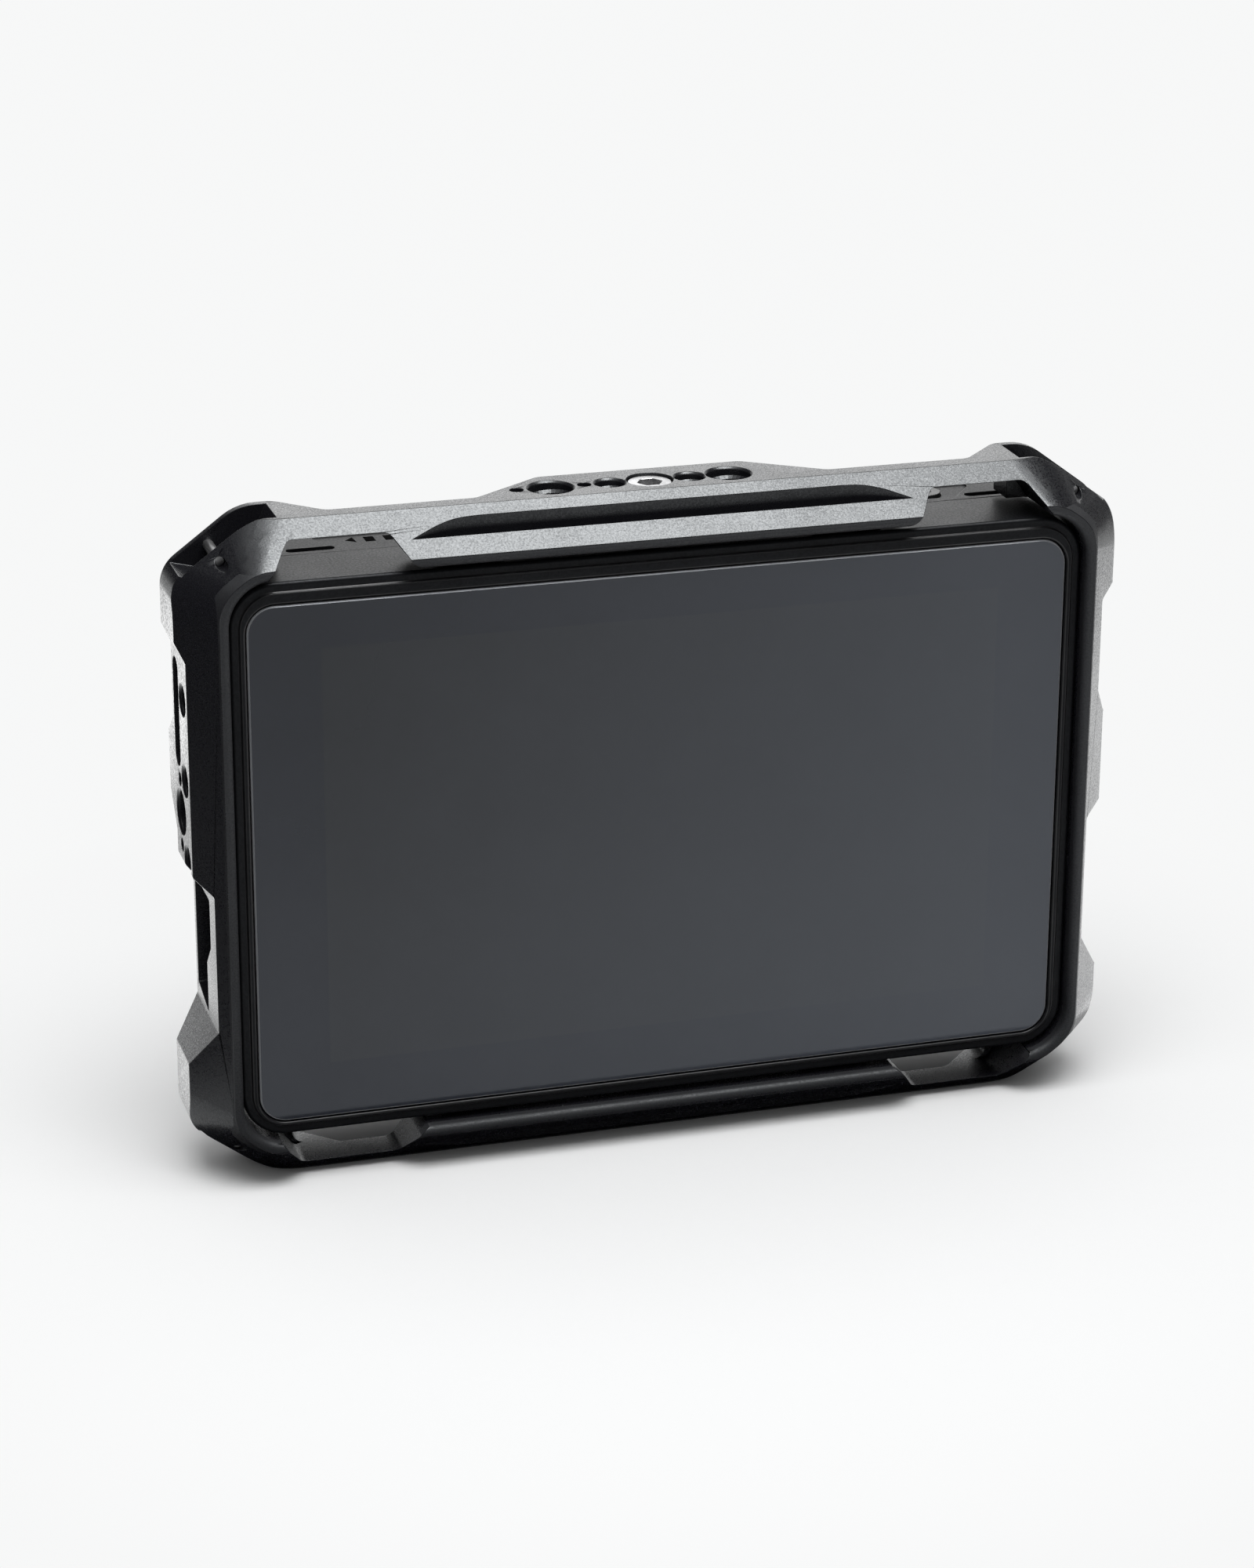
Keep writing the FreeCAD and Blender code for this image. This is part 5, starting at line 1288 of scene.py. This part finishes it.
@dataclass
class Keys(Assembly):
    """Keys on the housing's top, with their marks; sizes in millimetres, angles in degrees."""

    mark: float = 0.02
    sunk: float = 0.002
    line: float = 0.3
    power_r: float = 1.35
    power_arc: Point = (125.0, 415.0)
    power_bar: Point = (0.35, 1.75)
    dot_r: float = 0.5
    dot_steps: int = 24
    dots_apart: float = 1.5
    panel_deep: float = 0.5
    triangle: tuple[Point, ...] = ((-17.8, 1.3), (-15.6, -0.4), (-15.9, 3.3))
    bars: Point = (-12.5, -8.2)
    bar_half: float = 1.1
    bar_span: Point = (-0.5, 2.9)

    def put_mark(
        self, name: str, place: Vector, body: str, shapes: list[list[Point]], finish: Finish,
    ) -> Object:
        """Print a mark on a level surface.

        Args:
            name: Name of the mark.
            place: Point of the surface that the shapes are drawn about.
            body: Body that it moves with.
            shapes: Outlines of the mark, in millimetres.
            finish: Its print.

        Returns:
            The mark.
        """
        scaled = [[(x * MM, y * MM) for x, y in points] for points in shapes]
        whole = gather([flat_shape(points, self.mark * MM) for points in scaled])
        whole.transform(Matrix.Translation(place - Vector((0.0, 0.0, self.sunk * MM))))
        return add_piece(name, whole, finish, body)

    def bar(self, middle: float, half: float, span: Point) -> list[Point]:
        """Corners of an upright bar, from its middle line, half width and lower and upper end."""
        left, right = middle - half, middle + half
        return [(left, span[0]), (right, span[0]), (right, span[1]), (left, span[1])]

    def top(self, node: str) -> Vector:
        """Middle of a packed key's top."""
        low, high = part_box(node)
        return Vector(((low.x + high.x) / 2, (low.y + high.y) / 2, high.z))

    def panel_marks(self) -> Object:
        """Print the panel's triangle and bars, beside the first function key.

        Returns:
            The marks.
        """
        place = self.top("function_1_button")
        place.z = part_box("rear_shell")[1].z - self.panel_deep * MM
        shapes = [list(self.triangle)] + [self.bar(x, self.bar_half, self.bar_span) for x in self.bars]
        return self.put_mark("panel_marks", place, BODY, shapes, DARK_MARK)

    def make(self) -> None:
        """Dress the keys and print their marks."""
        for key in ("power", "function_1", "function_2"):
            self.dress_all((key + "_button", KEY_CAP, Edge.KEY), (key + "_plunger", LATCH))
        half = self.line / 2
        ring = arc_band(self.power_r - half, self.power_r + half, *self.power_arc)
        turns = [2 * math.pi * i / self.dot_steps for i in range(self.dot_steps)]
        dot = [(self.dot_r * math.cos(a), self.dot_r * math.sin(a)) for a in turns]
        shift = self.dots_apart / 2
        pair = [[(x + side, y) for x, y in dot] for side in (-shift, shift)]
        for name, body, shapes in (
            ("power", "power_key", [ring, self.bar(0.0, half, self.power_bar)]),
            ("function_1", "function_key_1", [dot]),
            ("function_2", "function_key_2", pair),
        ):
            place = self.top(name + "_button")
            self.pieces.append(self.put_mark(name + "_mark", place, body, shapes, MARK))
        self.pieces.append(self.panel_marks())


@dataclass(frozen=True)
class Coil:
    """Coil spring along Y with its ends ground flat; sizes in millimetres."""

    turns: int = 4
    wire: float = 0.3
    travel: float = 1.81
    turn_steps: int = 36
    wire_steps: int = 12

    def mesh(self, low: Vector, high: Vector) -> BMesh:
        """Wind the spring inside a box.

        Args:
            low: Lowest corner of the box, in metres.
            high: Highest corner of the box, in metres.

        Returns:
            The spring, closed at both ends.
        """
        mesh = bmesh.new()
        middle = (low + high) / 2
        wire = self.wire * MM
        radius = (high.x - low.x) / 2 - wire
        steps = self.turns * self.turn_steps
        rings = []
        for i in range(steps + 1):
            angle = 2 * math.pi * i / self.turn_steps
            out = Vector((math.cos(angle), 0.0, -math.sin(angle)))
            height = low.y + (high.y - low.y) * i / steps
            ring = []
            for k in range(self.wire_steps):
                around = 2 * math.pi * k / self.wire_steps
                spot = middle + out * (radius + wire * math.cos(around))
                spot.y = min(max(height + wire * math.sin(around), low.y), high.y)
                ring.append(mesh.verts.new(spot))
            rings.append(ring)
        skin(mesh, rings, smooth=True)
        mesh.faces.new(rings[0])
        mesh.faces.new(rings[-1])
        return mesh

    def build(self, node: str, joint: str) -> Object:
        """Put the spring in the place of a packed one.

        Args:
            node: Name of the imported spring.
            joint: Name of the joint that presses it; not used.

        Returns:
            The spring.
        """
        low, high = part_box(node)
        piece = add_piece(node + "_wound", self.mesh(low, high), STEEL, BODY)
        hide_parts(node)
        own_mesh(piece)
        return piece


@dataclass
class BatteryMount(Assembly):
    """Battery plate on the back, with its latch and contacts."""

    screw: Screw = Screw(2.48, 1.25, 1.24, 5.4, 2.7, 0.9, sunk=True, soft=0.1)
    spring: Coil = Coil()

    def make(self) -> None:
        """Dress the plate, the latch and the contacts, set the screws and wind the spring."""
        self.dress_all(
            ("battery_plate", HOUSING, Edge.BROAD, HOUSING_EDGE), ("battery_latch", LATCH, Edge.FINE),
            ("contact_block", SOCKET_PLASTIC, Edge.BROAD), ("battery_contacts", GOLD, Edge.MOULDED),
        )
        self.pieces.append(set_screws("plate_screws", self.screw))
        self.pieces.append(self.spring.build("latch_spring", "battery_latch_press"))


@dataclass(frozen=True)
class Softbox:
    """One studio lamp, in metres; a strip lights gloss alone, any other lamp all but gloss."""

    name: str
    place: Spot
    size: Point
    brightness: float
    aim: Spot = (0.0, 0.0, 0.07)
    strip: bool = True

    def build(self) -> Object:
        """Hang the lamp.

        Returns:
            The lamp.
        """
        lamp = bpy.data.lights.new(self.name, "AREA")
        lamp.shape = "RECTANGLE"
        lamp.size, lamp.size_y = self.size
        lamp.energy = self.brightness * math.pi * self.size[0] * self.size[1]
        holder = bpy.data.objects.new(self.name, lamp)
        way = Vector(self.aim) - Vector(self.place)
        holder.matrix_world = facing(Vector(self.place), -way)
        holder.visible_camera = False
        holder.visible_diffuse = not self.strip
        holder.visible_glossy = self.strip
        bpy.context.scene.collection.objects.link(holder)
        return holder


@dataclass
class Studio:
    """Pale floor, soft lamps, dark flags, a dark card under the object as painted shade, and the camera.

    Places are in metres, the sensor in millimetres, the cards' turns in degrees. The camera's rows point
    right, up and ahead, and its stand is measured from the glass's front at half the part's height.
    """

    floor_half: float = 5.0
    sensor: float = 36.0
    focal_px: float = 5182.53
    height_px: float = 2000.0
    near: float = 0.01
    rows: tuple[Spot, Spot, Spot] = (
        (0.957531, -0.288299, 0.004362), (0.096906, 0.336031, 0.936852), (0.271559, 0.896642, -0.349698),
    )
    stand: Spot = (-0.246432, -0.784419, 0.316038)
    view_up: float = 0.0005
    zenith: float = 0.95
    horizon: float = 0.06
    cloth: Rgb = (0.012, 0.012, 0.014)
    cards: int = 12
    card_start: float = 102.0
    card_turn: float = 24.0
    card_foot: Point = (1.3, 0.02)
    card_head: Point = (0.8, 1.25)
    floor_cards: tuple[tuple[str, tuple[float, ...]], ...] = (
        ("left_floor_card", (-1.6, -0.15, -0.5, 0.25, 0.001)),
        # Painted shade: a dark card under the object, seen only in gloss, where the floor beneath lies in
        # shade.
        ("under_card", (-0.11, 0.11, -0.05, 0.03, 0.0006)),
    )
    lamps: tuple[Softbox, ...] = (
        Softbox("front_soft", (-0.05, -0.35, 1.05), (0.9, 0.6), 4.8, strip=False),
        Softbox("overhead_strip", (0.15, -0.2, 0.95), (0.52, 0.6), 14.0),
        Softbox("rear_strip", (0.4, 1.0, 0.55), (0.76, 0.4), 1.7),
        Softbox("left_near_strip", (-0.18, 0.11, 0.003), (0.2, 0.2), 1.15, (-0.18, 0.11, 1.0)),
        Softbox("left_far_strip", (-0.19, 0.32, 0.003), (0.2, 0.2), 2.2, (-0.19, 0.32, 1.0)),
        Softbox("right_strip", (0.3, 0.07, 0.003), (0.36, 0.3), 1.6, (0.3, 0.07, 1.0)),
    )

    def stage(self, name: str, corners: list[Spot], material: Material) -> Object:
        """Make a flat sheet that belongs to the studio.

        Args:
            name: Name of the sheet.
            corners: Its corners.
            material: Its finish.

        Returns:
            The sheet.
        """
        data = bpy.data.meshes.new(name)
        data.from_pydata(corners, [], [tuple(range(len(corners)))])
        data.materials.append(material)
        sheet = bpy.data.objects.new(name, data)
        bpy.context.scene.collection.objects.link(sheet)
        return sheet

    def level(self, left: float, right: float, front: float, back: float, height: float) -> list[Spot]:
        """Corners of a level rectangle at a height."""
        return [(left, front, height), (right, front, height), (right, back, height), (left, back, height)]

    def flags(self) -> None:
        """Dark cards that only the object's gloss sees, out to the sides and in front, and one under the
        object as painted shade.
        """
        even = {"Base Color": (*self.cloth, 1.0), "Roughness": 1.0, "Specular IOR Level": 0.0}
        # One dark cloth for the flags and for the card of painted shade under the object.
        material = new_material("flag_cloth", even)[0]
        cards = {name: self.level(*sides) for name, sides in self.floor_cards}
        for i in range(self.cards):
            turns = [math.radians(self.card_start + self.card_turn * (i + k)) for k in (0, 1)]
            corners = []
            for (r, height), angles in ((self.card_foot, turns), (self.card_head, turns[::-1])):
                corners += [(r * math.cos(a), r * math.sin(a), height) for a in angles]
            cards[f"front_card_{i + 1}"] = corners
        for name, corners in cards.items():
            card = self.stage(name, corners, material)
            for kind in ("camera", "diffuse", "shadow", "transmission", "volume_scatter"):
                setattr(card, "visible_" + kind, False)

    def camera(self) -> Object:
        """Stand the camera where the photograph was taken from.

        Returns:
            The camera.
        """
        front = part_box("cover_glass")[0].y
        origin = Vector((0.0, front, (CAD_BOX[0][2] + CAD_BOX[1][2]) / 2 + self.view_up))
        lens = bpy.data.cameras.new("photo_camera")
        lens.lens = self.sensor * self.focal_px / self.height_px
        lens.sensor_width = self.sensor
        lens.clip_start = self.near
        camera = bpy.data.objects.new("photo_camera", lens)
        right, up, ahead = (Vector(row) for row in self.rows)
        turn = Matrix((right, up, -ahead)).transposed().to_4x4()
        camera.matrix_world = Matrix.Translation(origin + Vector(self.stand)) @ turn
        bpy.context.scene.collection.objects.link(camera)
        bpy.context.scene.camera = camera
        return camera

    def world(self) -> None:
        """Soft light that comes mostly from above, with a white background for what sees it."""
        world = bpy.data.worlds.new("studio")
        world.use_nodes = True
        graph = Graph(world.node_tree)
        soft = world.node_tree.nodes["Background"]
        soft.inputs["Color"].default_value = (*EVEN, 1.0)
        high = graph.math("MAXIMUM", graph.axes("Generated")[2], 0.0)
        power = graph.math("MULTIPLY_ADD", graph.math("MULTIPLY", high, high), self.zenith, self.horizon)
        graph.join(power, soft.inputs["Strength"])
        white = graph.add("ShaderNodeBackground", {"Color": (*WHITE, 1.0), "Strength": 1.0})
        graph.whiten(graph.seen(), soft, white)
        bpy.context.scene.world = world

    def build(self) -> list[Object]:
        """Set up the studio.

        Returns:
            The floor, the camera and the lamps.
        """
        bpy.context.scene.view_settings.view_transform = "Standard"
        half = self.floor_half
        floor = self.stage("floor", self.level(-half, half, -half, half, 0.0), FloorFinish().material())
        self.flags()
        self.world()
        return [floor, self.camera()] + [lamp.build() for lamp in self.lamps]


def main() -> None:
    """Build every sub-assembly and the studio."""
    logging.basicConfig(level=logging.INFO, format="%(name)s: %(message)s")
    for assembly in (
        Cage(), Housing(), Screen(), Electronics(), Cooling(), Sockets(), Keys(), BatteryMount(), Studio(),
    ):
        for piece in assembly.build():
            log.info("%s built %s", type(assembly).__name__, piece.name)


if __name__ == "__main__":
    main()
